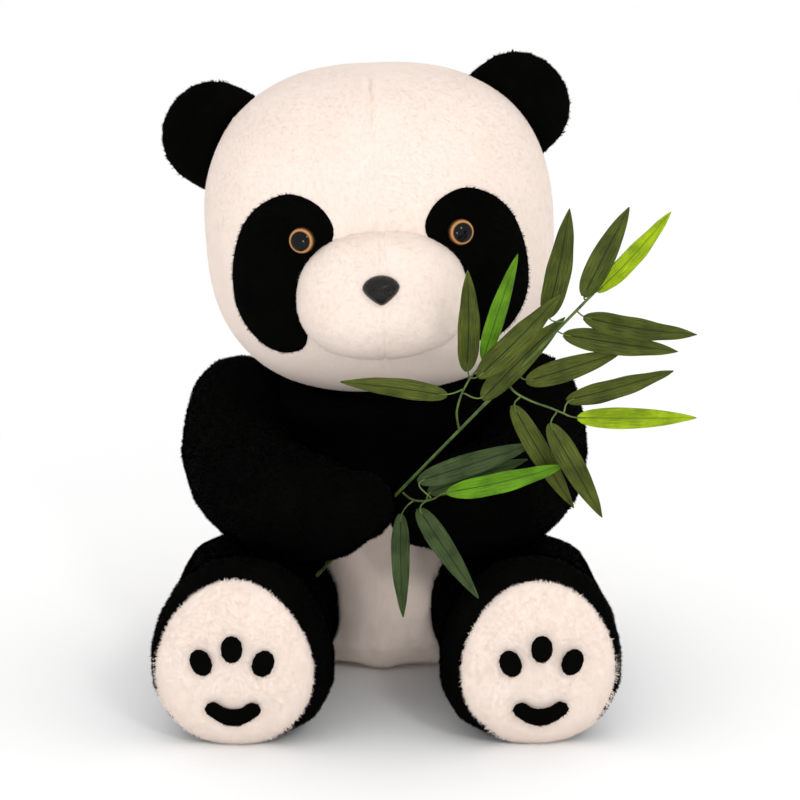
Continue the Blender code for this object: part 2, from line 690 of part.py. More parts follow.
def build_arm(side, torso_frame):
    sign = SIDES[side]
    x, y, z, radius = ARM_LINE[side][0]
    shoulder = empty(f"{side}_shoulder", (sign * x, y, z), torso_frame)
    outer = arm_form(side)
    cover = part(f"{side}_arm_cover", outer.copy(), BLACK_PLUSH, shoulder)
    hollow(cover)
    start, end = sorted(sign * (x - inwards) for inwards in ARM_HOLE_SPAN)
    hole = rod_mesh(f"{side}_armhole", ARM_HOLE_RADIUS, start, end, ARM_SIDES)
    hole.transform(Matrix.Rotation(radians(90), 4, "Y"))
    hole.transform(Matrix.Translation((0, y, z)))
    boolean(cover, cutter(f"{side}_armhole", hole))
    part(f"{side}_arm_stuffing", grown(outer, -CORE_INSET), STUFFING, shoulder)
    ball = rounded_form(f"{side}_shoulder_arm_room", [radius + TURNING_GAP] * 3, 2.0,
                        *BALL_ROOM_MESH, Vector((sign * x, y, z)))
    return [cutter(ball.name, ball), cutter(f"{side}_arm_room", grown(outer, JOINT_GAP))]


# ---- legs


def leg_frame(side):
    """Axes of one leg: forward along it, outwards across it, from the hip on the floor."""
    sign = SIDES[side]
    turn = LEG_TURN[side]
    forward = Vector((sign * sin(turn), -cos(turn), 0))
    outwards = Vector((sign * cos(turn), sin(turn), 0))
    return Vector((sign * HIP[0], HIP[1], 0)), forward, outwards


def leg_form(side):
    origin, forward, outwards = leg_frame(side)
    _, width, height, middle, _ = LEG_RINGS[0]
    stations = [(-width * sin(a), width * cos(a), height * cos(a), middle, 0.0)
                for a in reversed(CAP_ANGLES)]
    stations += LEG_RINGS
    rings = [
        (origin + forward * along + Z_AXIS * middle, outwards, Z_AXIS, half_width, half_height, egg)
        for along, half_width, half_height, middle, egg in stations
    ]
    ends = (origin - forward * width + Z_AXIS * middle,
            origin + forward * LEG_RINGS[-1][0] + Z_AXIS * LEG_RINGS[-1][3])
    return loft(f"{side}_leg_form", rings, ends, LEG_SIDES, LEG_POWER, lowest=0.0)


def sole_middle(side, along):
    origin, forward, outwards = leg_frame(side)
    return origin + forward * along + outwards * SOLE_CENTRE[0] + Z_AXIS * SOLE_CENTRE[1]


def sole_form(side):
    _, _, outwards = leg_frame(side)
    rings = []
    for angle in SOLE_ANGLES:
        centre = sole_middle(side, SOLE_START + SOLE_BULGE * sin(angle))
        rings.append((centre, outwards, Z_AXIS, SOLE_HALF[0] * cos(angle),
                      SOLE_HALF[1] * cos(angle), SOLE_EGG))
    ends = (sole_middle(side, SOLE_START), sole_middle(side, SOLE_START + SOLE_BULGE))
    return loft(f"{side}_sole", rings, ends, SOLE_SIDES, SOLE_POWER)


def pad_pose(side, across, up):
    """A frame on the sole's dome, across and up from its middle, with Z pointing forward."""
    origin, forward, outwards = leg_frame(side)
    share = ((across / SOLE_HALF[0]) ** 2 + (up / SOLE_HALF[1]) ** 2) ** 0.5
    rise = SOLE_BULGE * cos(asin(share))
    direction = forward + outwards * (SOLE_BULGE * across / SOLE_HALF[0] ** 2 / cos(asin(share)))
    direction += Z_AXIS * (SOLE_BULGE * up / SOLE_HALF[1] ** 2 / cos(asin(share)))
    place = sole_middle(side, SOLE_START + rise) + outwards * across + Z_AXIS * up
    lift = PAD_GAP + PAD_THICKNESS / 2
    return facing(place + direction.normalized() * lift, direction)


def build_pads(side, hip):
    sign = SIDES[side]
    for name, (across, up, tilt) in TOES.items():
        outline = [(TOE_HALF[0] * cos(a), TOE_HALF[1] * sin(a))
                   for a in [i * pi / 3 for i in range(6)]]
        mesh = slab_mesh(f"{side}_{name}_toe_pad", outline, PAD_THICKNESS / 2)
        mesh.transform(Matrix.Rotation(radians(-tilt * sign), 4, "Z"))
        pose = pad_pose(side, across, up)
        part(f"{side}_{name}_toe_pad", moved(mesh, pose), BLACK_PLUSH, hip)
    mesh = slab_mesh(f"{side}_heel_pad", heel_outline(), PAD_THICKNESS / 2)
    part(f"{side}_heel_pad", moved(mesh, pad_pose(side, 0.0, HEEL_HEIGHT)), BLACK_PLUSH, hip)


def heel_outline():
    """A band that sags in the middle and has round ends."""
    reach = HEEL_HALF_WIDTH - HEEL_BAND
    lower = [(x * reach, HEEL_SAG * (x * x - 0.5) - HEEL_BAND) for x in (-1, -0.5, 0, 0.5, 1)]
    right = [(HEEL_HALF_WIDTH, HEEL_SAG * 0.6)]
    upper = [(x, y + 2 * HEEL_BAND) for x, y in reversed(lower)]
    left = [(-HEEL_HALF_WIDTH, HEEL_SAG * 0.6)]
    return lower + right + upper + left


def build_leg(side, torso_frame):
    origin, forward, _ = leg_frame(side)
    hip = empty(f"{side}_hip", origin, torso_frame)
    outer = leg_form(side)
    cover = part(f"{side}_leg_cover", outer.copy(), BLACK_PLUSH, hip)
    hollow(cover)
    sole = sole_form(side)
    opening = rod_mesh(f"{side}_foot_opening", 1.0, -LEG_OPENING_DEPTH, LEG_OPENING_DEPTH,
                       SOLE_SIDES)
    opening.transform(Matrix.Diagonal((SOLE_HALF[0] * LEG_OPENING_SHARE,
                                       SOLE_HALF[1] * LEG_OPENING_SHARE, 1, 1)))
    opening.transform(facing(sole_middle(side, LEG_RINGS[-1][0]), forward))
    boolean(cover, cutter(f"{side}_foot_opening", opening))
    part(f"{side}_leg_stuffing", grown(outer, -CORE_INSET), STUFFING, hip)
    part(f"{side}_sole", sole, WHITE_PLUSH, hip)
    build_pads(side, hip)
    turning = hip_room(side, origin)
    return [cutter(f"{side}_leg_room", grown(outer, JOINT_GAP)), cutter(turning.name, turning)]


def hip_room(side, origin):
    """The room that the leg's round end sweeps as it turns about the upright hip axis."""
    _, width, height, middle, _ = LEG_RINGS[0]
    rings = []
    for share in [cos(step * pi / HIP_ROOM_RINGS) for step in range(1, HIP_ROOM_RINGS)]:
        reach = width * (1.0 - abs(share) ** LEG_POWER) ** (1.0 / LEG_POWER) + TURNING_GAP
        centre = origin + Z_AXIS * (middle + share * (height + TURNING_GAP))
        rings.append((centre, X_AXIS, Vector((0, -1, 0)), reach, reach, 0.0))
    ends = [origin + Z_AXIS * (middle + end * (height + TURNING_GAP)) for end in (1, -1)]
    return loft(f"{side}_hip_leg_room", rings, ends, ROOM_SIDES)


# ---- bamboo


def leaf_mesh(name, base, tip, width, roll):
    """A long blade folded a little along its midrib, from an open strip with thickness."""
    base, tip = Vector(base), Vector(tip)
    along = (tip - base).normalized()
    # the blade's face looks forward, then it is rolled about its own length
    across = along.cross(Vector((0, -1, 0))).normalized()
    across.rotate(Matrix.Rotation(radians(roll), 3, along))
    face = across.cross(along)
    form = bmesh.new()
    rows = len(LEAF_PROFILE) - 1
    bmesh.ops.create_grid(form, x_segments=2, y_segments=rows, size=1.0)
    length = (tip - base).length
    for vertex in form.verts:
        share, half = LEAF_PROFILE[round((vertex.co.y + 1) / 2 * rows)]
        sideways = round(vertex.co.x)
        fold = LEAF_FOLD * (1 - abs(sideways)) * half
        arch = LEAF_ARCH * sin(share * pi)
        vertex.co = (base + along * (share * length) + across * (sideways * half * width / 2)
                     + face * (fold - arch))
    return to_mesh(name, form)


def build_leaf(name, grip):
    base, tip, width, roll = LEAVES[name]
    look = LIME_LEAF if name in LIME_LEAVES else DARK_LEAF
    leaf = part(name, leaf_mesh(name, base, tip, width, roll), look, grip)
    blade = leaf.modifiers.new("blade", "SOLIDIFY")
    blade.thickness = LEAF_THICKNESS
    blade.offset = 0.0


def build_bamboo(shoulder):
    grip = empty("bamboo_grip", STEM_BOTTOM, shoulder)
    stem = tube_mesh("main_stem", (STEM_BOTTOM, STEM_TOP, STEM_FORK), STEM_RADIUS, 1)
    part("main_stem", stem, STEM_PLASTIC, grip)
    for name, points in TWIGS.items():
        twig = tube_mesh(name, [Vector(p) for p in points], TWIG_RADIUS, 1)
        part(name, twig, STEM_PLASTIC, grip)
    for name in LEAVES:
        build_leaf(name, grip)


# ---- assembly


def build():
    torso_frame = empty("torso_frame", (0, 0, 0))
    rooms = [room for side in SIDES for room in build_leg(side, torso_frame)]
    rooms += [room for side in SIDES for room in build_arm(side, torso_frame)]
    build_torso(torso_frame, rooms)

    neck = empty("neck_turn", NECK_CENTRE, torso_frame)
    plug = rounded_form("neck_stuffing", [NECK_RADIUS] * 3, 2.0, *NECK_MESH, NECK_CENTRE)
    part("neck_stuffing", plug, STUFFING, neck)

    nod = empty("neck_nod", NECK_CENTRE, neck)
    head_frame = empty("head_frame", HEAD_CENTRE, nod, (0, HEAD_ROLL, 0))
    room = rounded_form("head_neck_room", [NECK_RADIUS + JOINT_GAP] * 3, 2.0, *NECK_MESH,
                        NECK_CENTRE)
    head_outer = build_head(head_frame, cutter("head_neck_room", room))
    for side in SIDES:
        build_ear(side, head_frame, head_outer)

    build_bamboo(bpy.data.objects["right_shoulder"])
    bpy.context.view_layer.update()


build()
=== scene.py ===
"""The looks of the sitting plush panda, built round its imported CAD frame.

Every plush cover is a smooth skin with its own pile: thin blades that lean along the fabric's
nap. The skins of the limbs and the torso are grown from the CAD's stuffing solids, and the face
follows the head's rounded form. The bamboo's leaves take their places from the CAD's blades.
"""

import json
from math import cos, pi, radians, sin

import bmesh
import bpy
import numpy as np
from mathutils import Matrix, Vector
from mathutils.bvhtree import BVHTree


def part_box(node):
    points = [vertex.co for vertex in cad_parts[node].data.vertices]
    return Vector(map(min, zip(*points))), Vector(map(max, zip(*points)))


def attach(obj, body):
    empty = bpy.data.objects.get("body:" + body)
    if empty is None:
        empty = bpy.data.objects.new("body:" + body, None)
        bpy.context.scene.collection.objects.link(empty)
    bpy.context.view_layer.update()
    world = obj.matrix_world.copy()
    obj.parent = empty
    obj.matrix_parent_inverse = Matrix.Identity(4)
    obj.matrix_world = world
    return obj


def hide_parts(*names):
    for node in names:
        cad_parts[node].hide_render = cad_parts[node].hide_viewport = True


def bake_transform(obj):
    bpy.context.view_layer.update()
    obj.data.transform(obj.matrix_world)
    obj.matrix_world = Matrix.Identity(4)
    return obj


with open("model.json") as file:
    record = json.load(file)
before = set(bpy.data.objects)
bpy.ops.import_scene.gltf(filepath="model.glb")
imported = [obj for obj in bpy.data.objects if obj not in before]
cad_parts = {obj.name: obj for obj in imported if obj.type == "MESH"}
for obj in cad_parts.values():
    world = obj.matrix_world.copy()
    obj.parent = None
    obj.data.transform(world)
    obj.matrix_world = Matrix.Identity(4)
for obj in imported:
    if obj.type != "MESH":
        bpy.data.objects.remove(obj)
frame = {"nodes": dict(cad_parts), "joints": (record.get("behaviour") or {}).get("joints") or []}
NODES = frame["nodes"]
JOINTS = {joint["name"]: joint for joint in frame["joints"]}
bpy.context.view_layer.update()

SIDES = {"right": -1, "left": 1}

# the head's form and the face on it, in the head's own frame; only the bridge and the nose's
# depth differ from the CAD
HEAD_CENTRE = Vector((-0.0035, -0.030, 0.367))
HEAD_ROLL = radians(-3.0)
HEAD_RADII = (0.1455, 0.133, 0.1365)
HEAD_POWER = 2.45
MUZZLE_CENTRE = Vector((0.0015, -0.115, -0.040))
MUZZLE_RADII = (0.0688, 0.057, 0.0475)
MUZZLE_POWER = 2.3
MUZZLE_BRIDGE = 1.22  # the plush above the muzzle's middle rises towards the eyes
PATCH_OUTLINE = (
    (-0.036, 0.012), (-0.040, 0.028), (-0.052, 0.039), (-0.069, 0.0435),
    (-0.088, 0.036), (-0.101, 0.023), (-0.109, 0.006), (-0.114, -0.017),
    (-0.114, -0.042), (-0.107, -0.061), (-0.094, -0.076), (-0.078, -0.081),
    (-0.062, -0.073), (-0.059, -0.045), (-0.050, -0.015),
)
EYE_PLACE = {"right": (-0.0580, 0.011), "left": (0.0645, 0.011)}
EYE_RADIUS = 0.0105
EYE_HEIGHT = 0.0075
NOSE_HEIGHT_ON_MUZZLE = 0.0165
NOSE_HALF = (0.0141, 0.0115)
NOSE_DEPTH = 0.0105
HEAD_FRAME = Matrix.Translation(HEAD_CENTRE) @ Matrix.Rotation(HEAD_ROLL, 4, "Y")

# the legs' turn from the CAD, and the white soles, up to 2 mm inside the CAD's
LEG_TURN = {"right": radians(2.8), "left": radians(4.6)}
SOLE_HALF = (0.0608, 0.0668)
SOLE_DROP = 0.0032  # the white sole sits this far below its rim's middle
SOLE_BULGE = 0.0135
SOLE_EGG = 0.14
SOLE_DEPTH = 0.0170
SOLE_RINGS, SOLE_STEPS = 26, 96
PADS = ("inner_toe_pad", "middle_toe_pad", "outer_toe_pad", "heel_pad")
PAD_SHRINK = 0.93  # the white pile reaches this far in over a pad's edge

# the bamboo's lines, as in the CAD, with slightly thinner wires
TWIG_RADIUS = 0.0009
TWIGS = {
    "upper_twig": ((0.0590, -0.2028, 0.2352), (0.0572, -0.216, 0.2465), (0.0569, -0.224, 0.2556),
                   (0.0597, -0.231, 0.2682), (0.0632, -0.236, 0.2770), (0.0655, -0.239, 0.2820)),
    "side_twig": ((0.0960, -0.2195, 0.2735), (0.1010, -0.2250, 0.2690), (0.1082, -0.2275, 0.2652),
                  (0.1164, -0.2300, 0.2620), (0.1268, -0.2330, 0.2590), (0.1365, -0.2360, 0.2555)),
    "lower_twig": ((0.0160, -0.1800, 0.1785), (0.0215, -0.1950, 0.1780), (0.0275, -0.2060, 0.1790),
                   (0.0345, -0.2130, 0.1812), (0.0400, -0.2180, 0.1842), (0.0430, -0.2210, 0.1870)),
}
STEM = (Vector((-0.0535, -0.142, 0.0995)), Vector((0.1400, -0.240, 0.3295)),
        Vector((0.1475, -0.2445, 0.3385)))
STEM_RADIUS = 0.0013
# blades by colour; the rest are dark green
LIME_LEAVES = ("leaf_02", "leaf_07", "leaf_12", "leaf_18")
GREEN_LEAVES = ("leaf_02", "leaf_18")
GREY_LEAVES = ("leaf_16", "leaf_17", "leaf_19", "leaf_20")
# two blades that only the looks have: base, tip, width
EXTRA_LEAVES = {
    "leaf_04": ((0.0755, -0.228, 0.2645), (0.1375, -0.2285, 0.3275), 0.0190),
    "leaf_17": ((0.035, -0.207, 0.186), (0.112, -0.206, 0.212), 0.0165),
}

# pile: length and width of a blade, and how many stand on a square metre
WHITE_PILE = (0.0032, 0.0006, 850000)
BLACK_PILE = (0.0033, 0.0007, 600000)
SOLE_PILE = (0.0034, 0.0009, 1200000)
PAD_PILE = (0.0022, 0.0007, 700000)
PATCH_RINGS = 16
PATCH_SHIFT = {"right": -0.0010, "left": 0.0035}  # sideways, to where the patches are sewn
PATCH_SPREAD = {"right": 0.0034, "left": 0.0014}  # a patch's pile reaches past its sewn outline
PILE_ROOM = 0.0026  # a skin lies this far inside the plush's outer form
CORE_INSET = 0.0036  # and a CAD stuffing solid this far
STUFFING_GAP = 0.0005  # no crease or seam comes closer to the filling than this


# ---- meshes from arrays


def build_mesh(name, verts, loops, sizes, normals):
    mesh = bpy.data.meshes.new(name)
    mesh.vertices.add(len(verts))
    mesh.vertices.foreach_set("co", np.asarray(verts, np.float32).ravel())
    mesh.loops.add(len(loops))
    mesh.loops.foreach_set("vertex_index", np.asarray(loops, np.int32))
    mesh.polygons.add(len(sizes))
    starts = np.concatenate(([0], np.cumsum(sizes)[:-1])).astype(np.int32)
    mesh.polygons.foreach_set("loop_start", starts)
    mesh.update(calc_edges=True)
    mesh.shade_smooth()
    if normals is not None:
        mesh.normals_split_custom_set_from_vertices(np.asarray(normals, np.float64).tolist())
    return mesh


def read(items, name, width, kind):
    data = np.empty(len(items) * width, kind)
    items.foreach_get(name, data)
    return data


def arrays(mesh):
    """Vertices, faces as (loops, sizes) and smooth vertex normals."""
    verts = read(mesh.vertices, "co", 3, np.float32)
    loops = read(mesh.loops, "vertex_index", 1, np.int32)
    sizes = read(mesh.polygons, "loop_total", 1, np.int32)
    normals = read(mesh.vertices, "normal", 3, np.float32)
    return verts.reshape(-1, 3), loops, sizes, normals.reshape(-1, 3)


def mesh_of(form, name):
    """A new smooth mesh from a bmesh, which is freed."""
    mesh = bpy.data.meshes.new(name)
    form.to_mesh(mesh)
    form.free()
    mesh.shade_smooth()
    return mesh


def edited(mesh, change):
    """The mesh after change(form) on it as a bmesh."""
    form = bmesh.new()
    form.from_mesh(mesh)
    change(form)
    form.to_mesh(mesh)
    form.free()
    return mesh


def unit(vectors):
    return vectors / np.maximum(np.linalg.norm(vectors, axis=-1, keepdims=True), 1e-12)


def roots(mesh, density, rng):
    """Random points on a mesh with its smooth normal there."""
    verts, _, _, normals = arrays(mesh)
    mesh.calc_loop_triangles()
    triangles = read(mesh.loop_triangles, "vertices", 3, np.int32).reshape(-1, 3)
    corners = verts[triangles]
    areas = np.linalg.norm(np.cross(corners[:, 1] - corners[:, 0], corners[:, 2] - corners[:, 0]),
                           axis=1) / 2
    count = int(areas.sum() * density)
    chosen = rng.choice(len(triangles), count, p=areas / areas.sum())
    a, b = rng.random(count), rng.random(count)
    flip = a + b > 1
    a[flip], b[flip] = 1 - a[flip], 1 - b[flip]
    shares = np.stack((1 - a - b, a, b), axis=1)[:, :, None]
    places = (corners[chosen] * shares).sum(axis=1)
    return places, unit((normals[triangles[chosen]] * shares).sum(axis=1))


def blades(mesh, pile, flow, keep, ends, longer, lean, seed):
    """Thin three-cornered blades of pile: verts and normals, three rows for each blade.

    flow gives the nap's direction at each root, keep says which roots have pile, and ends
    says which tips may stay. longer scales the length at each root, and lean is the blade's
    mean angle above the skin, in degrees.
    """
    length, width, density = pile
    rng = np.random.default_rng(seed)
    places, normals = roots(mesh, density, rng)
    if keep is not None:
        kept = keep(places)
        places, normals = places[kept], normals[kept]
    count = len(places)
    nap = flow(places) if callable(flow) else np.broadcast_to(np.asarray(flow, float), (count, 3))
    nap = nap - normals * (nap * normals).sum(axis=1, keepdims=True)
    nap = unit(nap + 1e-6)
    across = np.cross(normals, nap)
    turn = rng.normal(0.0, 0.42, (count, 1))
    nap = nap * np.cos(turn) + across * np.sin(turn)
    rise = np.radians(np.clip(rng.normal(lean, lean * 0.35, (count, 1)), 6.0, 85.0))
    point = nap * np.cos(rise) + normals * np.sin(rise)
    side = unit(np.cross(normals, point))
    reach = length * rng.uniform(0.65, 1.2, (count, 1))
    if longer is not None:
        reach *= longer(places)[:, None]
    half = width * rng.uniform(0.35, 0.65, (count, 1))
    base = places - normals * 0.0003
    tips = base + point * reach
    verts = np.stack((base + side * half, base - side * half, tips), axis=1)
    shading = normals
    if ends is not None:
        kept = ends(tips)
        verts, shading = verts[kept], shading[kept]
    return verts.reshape(-1, 3), np.repeat(shading, 3, axis=0)


def furry(name, skin, pile, flow, look, keep=None, ends=None, lean=38.0, seed=1, longer=None):
    """A piece made of a skin mesh and its pile."""
    verts, loops, sizes, normals = arrays(skin)
    tips, shading = blades(skin, pile, flow, keep, ends, longer, lean, seed)
    first = len(verts)
    count = len(tips)
    verts = np.concatenate((verts, tips))
    verts[:, 2] = np.maximum(verts[:, 2], 0.0)
    loops = np.concatenate((loops, np.arange(first, first + count, dtype=np.int32)))
    sizes = np.concatenate((sizes, np.full(count // 3, 3, np.int32)))
    mesh = build_mesh(name, verts, loops, sizes, np.concatenate((normals, shading)))
    return new_piece(name, mesh, look)


def new_piece(name, mesh, look):
    piece = bpy.data.objects.new(name, mesh)
    bpy.context.scene.collection.objects.link(piece)
    mesh.materials.clear()
    mesh.materials.append(look)
    return piece


def evaluated(mesh, steps):
    """The mesh after a list of modifiers, each (type, settings)."""
    holder = bpy.data.objects.new("holder", mesh)
    bpy.context.scene.collection.objects.link(holder)
    for kind, settings in steps:
        modifier = holder.modifiers.new(kind, kind)
        for key, value in settings.items():
            setattr(modifier, key, value)
    graph = bpy.context.evaluated_depsgraph_get()
    made = bpy.data.meshes.new_from_object(holder.evaluated_get(graph))
    bpy.data.objects.remove(holder, do_unlink=True)
    return made


def skin_of(node, voxel, swell, smooth=14, joined=()):
    """A smooth closed skin round a CAD solid and the joined meshes, swell outside them."""
    form = bmesh.new()
    form.from_mesh(NODES[node].data)
    bmesh.ops.remove_doubles(form, verts=form.verts, dist=0.00001)
    for mesh in joined:
        form.from_mesh(mesh)
    mesh = bpy.data.meshes.new(node + "_skin")
    form.to_mesh(mesh)
    form.free()
    steps = [
        ("REMESH", {"mode": "VOXEL", "voxel_size": voxel, "adaptivity": 0.0}),
        ("SMOOTH", {"factor": 0.5, "iterations": smooth}),
    ]
    mesh = evaluated(mesh, steps)
    mesh = reshaped(mesh, lambda places, normals: places + normals * swell)
    return reshaped(mesh, lambda places, normals: clear_of(places, node, swell * 0.8))


def tree_of(node, shrink=1.0):
    """A search tree of a CAD solid, scaled about its middle."""
    verts, loops, sizes, _ = arrays(NODES[node].data)
    middle = verts.mean(axis=0)
    verts = middle + (verts - middle) * shrink
    ends = np.cumsum(sizes)
    faces = [tuple(loops[end - size:end].tolist()) for end, size in zip(ends, sizes)]
    return BVHTree.FromPolygons([Vector(v) for v in verts.astype(float)], faces)


def clear_of(places, node, gap):
    """The points, with those less than gap outside a CAD solid pushed out to it."""
    if gap <= 0:
        return places
    tree = tree_of(node)
    moved = places.astype(float)
    for index, place in enumerate(moved):
        nearest, normal, _, _ = tree.find_nearest(Vector(place))
        height = (Vector(place) - nearest).dot(normal)
        if height < gap:
            moved[index] = place + np.array(normal) * (gap - height)
    return moved


def reshaped(mesh, change):
    """The mesh with its points moved by change(places, normals)."""
    verts, _, _, normals = arrays(mesh)
    mesh.vertices.foreach_set("co", change(verts, normals).astype(np.float32).ravel())
    mesh.update()
    return mesh


def waves(places, seed, scale):
    """Smooth random values about -1 to 1 that vary over scale metres, for folds and lumps."""
    rng = np.random.default_rng(seed)
    total = np.zeros(len(places))
    for octave in range(3):
        strength = 0.55**octave
        for _ in range(5):
            direction = unit(rng.normal(size=3))
            phase = rng.uniform(0, 2 * pi)
            pitch = 2 * pi / scale * 1.9**octave * rng.uniform(0.7, 1.3)
            total += strength * np.sin(places @ direction * pitch + phase)
    return total / 5.0


# ---- materials


def nodes_of(name, roughness):
    look = bpy.data.materials.new(name)
    look.use_nodes = True
    tree = look.node_tree
    shader = tree.nodes["Principled BSDF"]
    shader.inputs["Roughness"].default_value = roughness
    return look, tree, shader


def add(tree, kind, **values):
    node = tree.nodes.new(kind)
    for key, value in values.items():
        if key in node.inputs:
            node.inputs[key].default_value = value
        else:
            setattr(node, key, value)
    return node


def ramp(tree, source, stops):
    """A colour ramp fed by source; stops are (place, colour)."""
    made = tree.nodes.new("ShaderNodeValToRGB")
    tree.links.new(source, made.inputs["Fac"])
    elements = made.color_ramp.elements
    while len(elements) < len(stops):
        elements.new(0.5)
    for element, (place, colour) in zip(elements, stops):
        element.position = place
        element.color = (*colour, 1.0)
    return made.outputs["Color"]


def noise(tree, coordinates, scale, detail=3.0, stretch=None):
    if stretch:
        mapping = tree.nodes.new("ShaderNodeMapping")
        mapping.inputs["Scale"].default_value = stretch
        tree.links.new(coordinates, mapping.inputs["Vector"])
        coordinates = mapping.outputs["Vector"]
    made = add(tree, "ShaderNodeTexNoise", Scale=scale, Detail=detail)
    tree.links.new(coordinates, made.inputs["Vector"])
    return made.outputs["Fac"]


def blend_colours(tree, share, first, second, kind="MIX"):
    made = add(tree, "ShaderNodeMix", data_type="RGBA", blend_type=kind)
    for index, value in ((0, share), (6, first), (7, second)):
        socket = made.inputs[index]
        if isinstance(value, (int, float)):
            socket.default_value = value
        elif isinstance(value, tuple):
            socket.default_value = (*value, 1.0)
        else:
            tree.links.new(value, socket)
    return made.outputs[2]


def bumped(tree, shader, height, strength, distance):
    made = add(tree, "ShaderNodeBump", Strength=strength, Distance=distance)
    tree.links.new(height, made.inputs["Height"])
    tree.links.new(made.outputs["Normal"], shader.inputs["Normal"])


def plush_look(name, pale, deep, sheen, specular=0.2):
    """Pile fabric: soft patches where the nap lies differently, fine strands, and sheen."""
    look, tree, shader = nodes_of(name, 0.92)
    place = tree.nodes.new("ShaderNodeTexCoord").outputs["Object"]
    patches = noise(tree, place, 26.0, 4.0)
    strands = noise(tree, place, 420.0, 2.0, (1.0, 1.0, 0.35))
    soft = ramp(tree, patches, ((0.36, deep), (0.62, pale)))
    fine = ramp(tree, strands, ((0.30, (0.975, 0.97, 0.965)), (0.60, (1.0, 1.0, 1.0))))
    colour = blend_colours(tree, 1.0, soft, fine, "MULTIPLY")
    tree.links.new(colour, shader.inputs["Base Color"])
    shader.inputs["Specular IOR Level"].default_value = specular
    shader.inputs["Sheen Weight"].default_value = sheen
    shader.inputs["Sheen Roughness"].default_value = 0.45
    bumped(tree, shader, noise(tree, place, 900.0, 2.0), 0.08, 0.0003)
    return look


def leaf_look(name, pale, deep, rib):
    """A printed cloth blade: fine lengthwise fibres, a dark midrib and darker blotches."""
    look, tree, shader = nodes_of(name, 0.42)
    coordinates = tree.nodes.new("ShaderNodeTexCoord")
    split = tree.nodes.new("ShaderNodeSeparateXYZ")
    tree.links.new(coordinates.outputs["UV"], split.inputs[0])
    fibres = noise(tree, coordinates.outputs["UV"], 14.0, 6.0, (7.0, 0.35, 1.0))
    body = ramp(tree, fibres, ((0.38, deep), (0.50, pale), (0.66, tuple(1.5 * c for c in pale))))
    blotches = noise(tree, coordinates.outputs["Object"], 55.0, 5.0)
    shade = ramp(tree, blotches, ((0.35, (0.55, 0.58, 0.50)), (0.6, (1.0, 1.0, 1.0))))
    body = blend_colours(tree, 1.0, body, shade, "MULTIPLY")
    middle = add(tree, "ShaderNodeMath", operation="SUBTRACT")
    middle.inputs[1].default_value = 0.5
    tree.links.new(split.outputs["X"], middle.inputs[0])
    distance = add(tree, "ShaderNodeMath", operation="ABSOLUTE")
    tree.links.new(middle.outputs[0], distance.inputs[0])
    line = ramp(tree, distance.outputs[0], ((0.012, (0.9, 0.9, 0.9)), (0.045, (0, 0, 0))))
    colour = blend_colours(tree, line, body, rib)
    tree.links.new(colour, shader.inputs["Base Color"])
    shader.inputs["Specular IOR Level"].default_value = 0.12
    bumped(tree, shader, fibres, 0.45, 0.0006)
    return look


def stem_look():
    look, tree, shader = nodes_of("stem_green", 0.5)
    place = tree.nodes.new("ShaderNodeTexCoord").outputs["Object"]
    colour = ramp(tree, noise(tree, place, 90.0, 3.0), ((0.35, (0.030, 0.070, 0.010)),
                                                       (0.7, (0.11, 0.17, 0.018))))
    tree.links.new(colour, shader.inputs["Base Color"])
    bumped(tree, shader, noise(tree, place, 700.0), 0.3, 0.0003)
    return look


def eye_look():
    """A domed button: black pupil, an amber ring with fine spokes, and a black rim."""
    look, tree, shader = nodes_of("eye_glaze", 0.05)
    shader.inputs["Specular IOR Level"].default_value = 0.15
    coordinates = tree.nodes.new("ShaderNodeTexCoord")
    mapping = tree.nodes.new("ShaderNodeMapping")
    mapping.inputs["Location"].default_value = (-0.5, -0.5, 0.0)
    tree.links.new(coordinates.outputs["UV"], mapping.inputs["Vector"])
    radius = add(tree, "ShaderNodeVectorMath", operation="LENGTH")
    tree.links.new(mapping.outputs["Vector"], radius.inputs[0])
    rings = ramp(tree, radius.outputs["Value"], (
        (0.0, (0.004, 0.004, 0.005)), (0.345, (0.004, 0.004, 0.005)), (0.365, (0.16, 0.07, 0.02)),
        (0.395, (0.62, 0.33, 0.13)), (0.435, (0.50, 0.25, 0.09)), (0.465, (0.11, 0.05, 0.015)),
        (0.5, (0.03, 0.014, 0.006))))
    spokes = noise(tree, coordinates.outputs["UV"], 30.0, 3.0)
    shade = ramp(tree, spokes, ((0.3, (0.65, 0.6, 0.55)), (0.65, (1.0, 1.0, 1.0))))
    tree.links.new(blend_colours(tree, 1.0, rings, shade, "MULTIPLY"), shader.inputs["Base Color"])
    return look


def nose_look():
    look, tree, shader = nodes_of("nose_moulding", 0.27)
    shader.inputs["Specular IOR Level"].default_value = 0.17
    place = tree.nodes.new("ShaderNodeTexCoord").outputs["Object"]
    colour = ramp(tree, noise(tree, place, 300.0), ((0.3, (0.008, 0.0075, 0.007)),
                                                   (0.7, (0.014, 0.013, 0.012))))
    tree.links.new(colour, shader.inputs["Base Color"])
    bumped(tree, shader, noise(tree, place, 1600.0, 2.0), 0.35, 0.0003)
    return look


def plain_look(name, pale, deep, roughness, scale):
    """For what is inside: filling and washers."""
    look, tree, shader = nodes_of(name, roughness)
    place = tree.nodes.new("ShaderNodeTexCoord").outputs["Object"]
    lumps = noise(tree, place, scale, 5.0)
    tree.links.new(ramp(tree, lumps, ((0.35, deep), (0.65, pale))), shader.inputs["Base Color"])
    bumped(tree, shader, lumps, 0.6, 0.002)
    return look


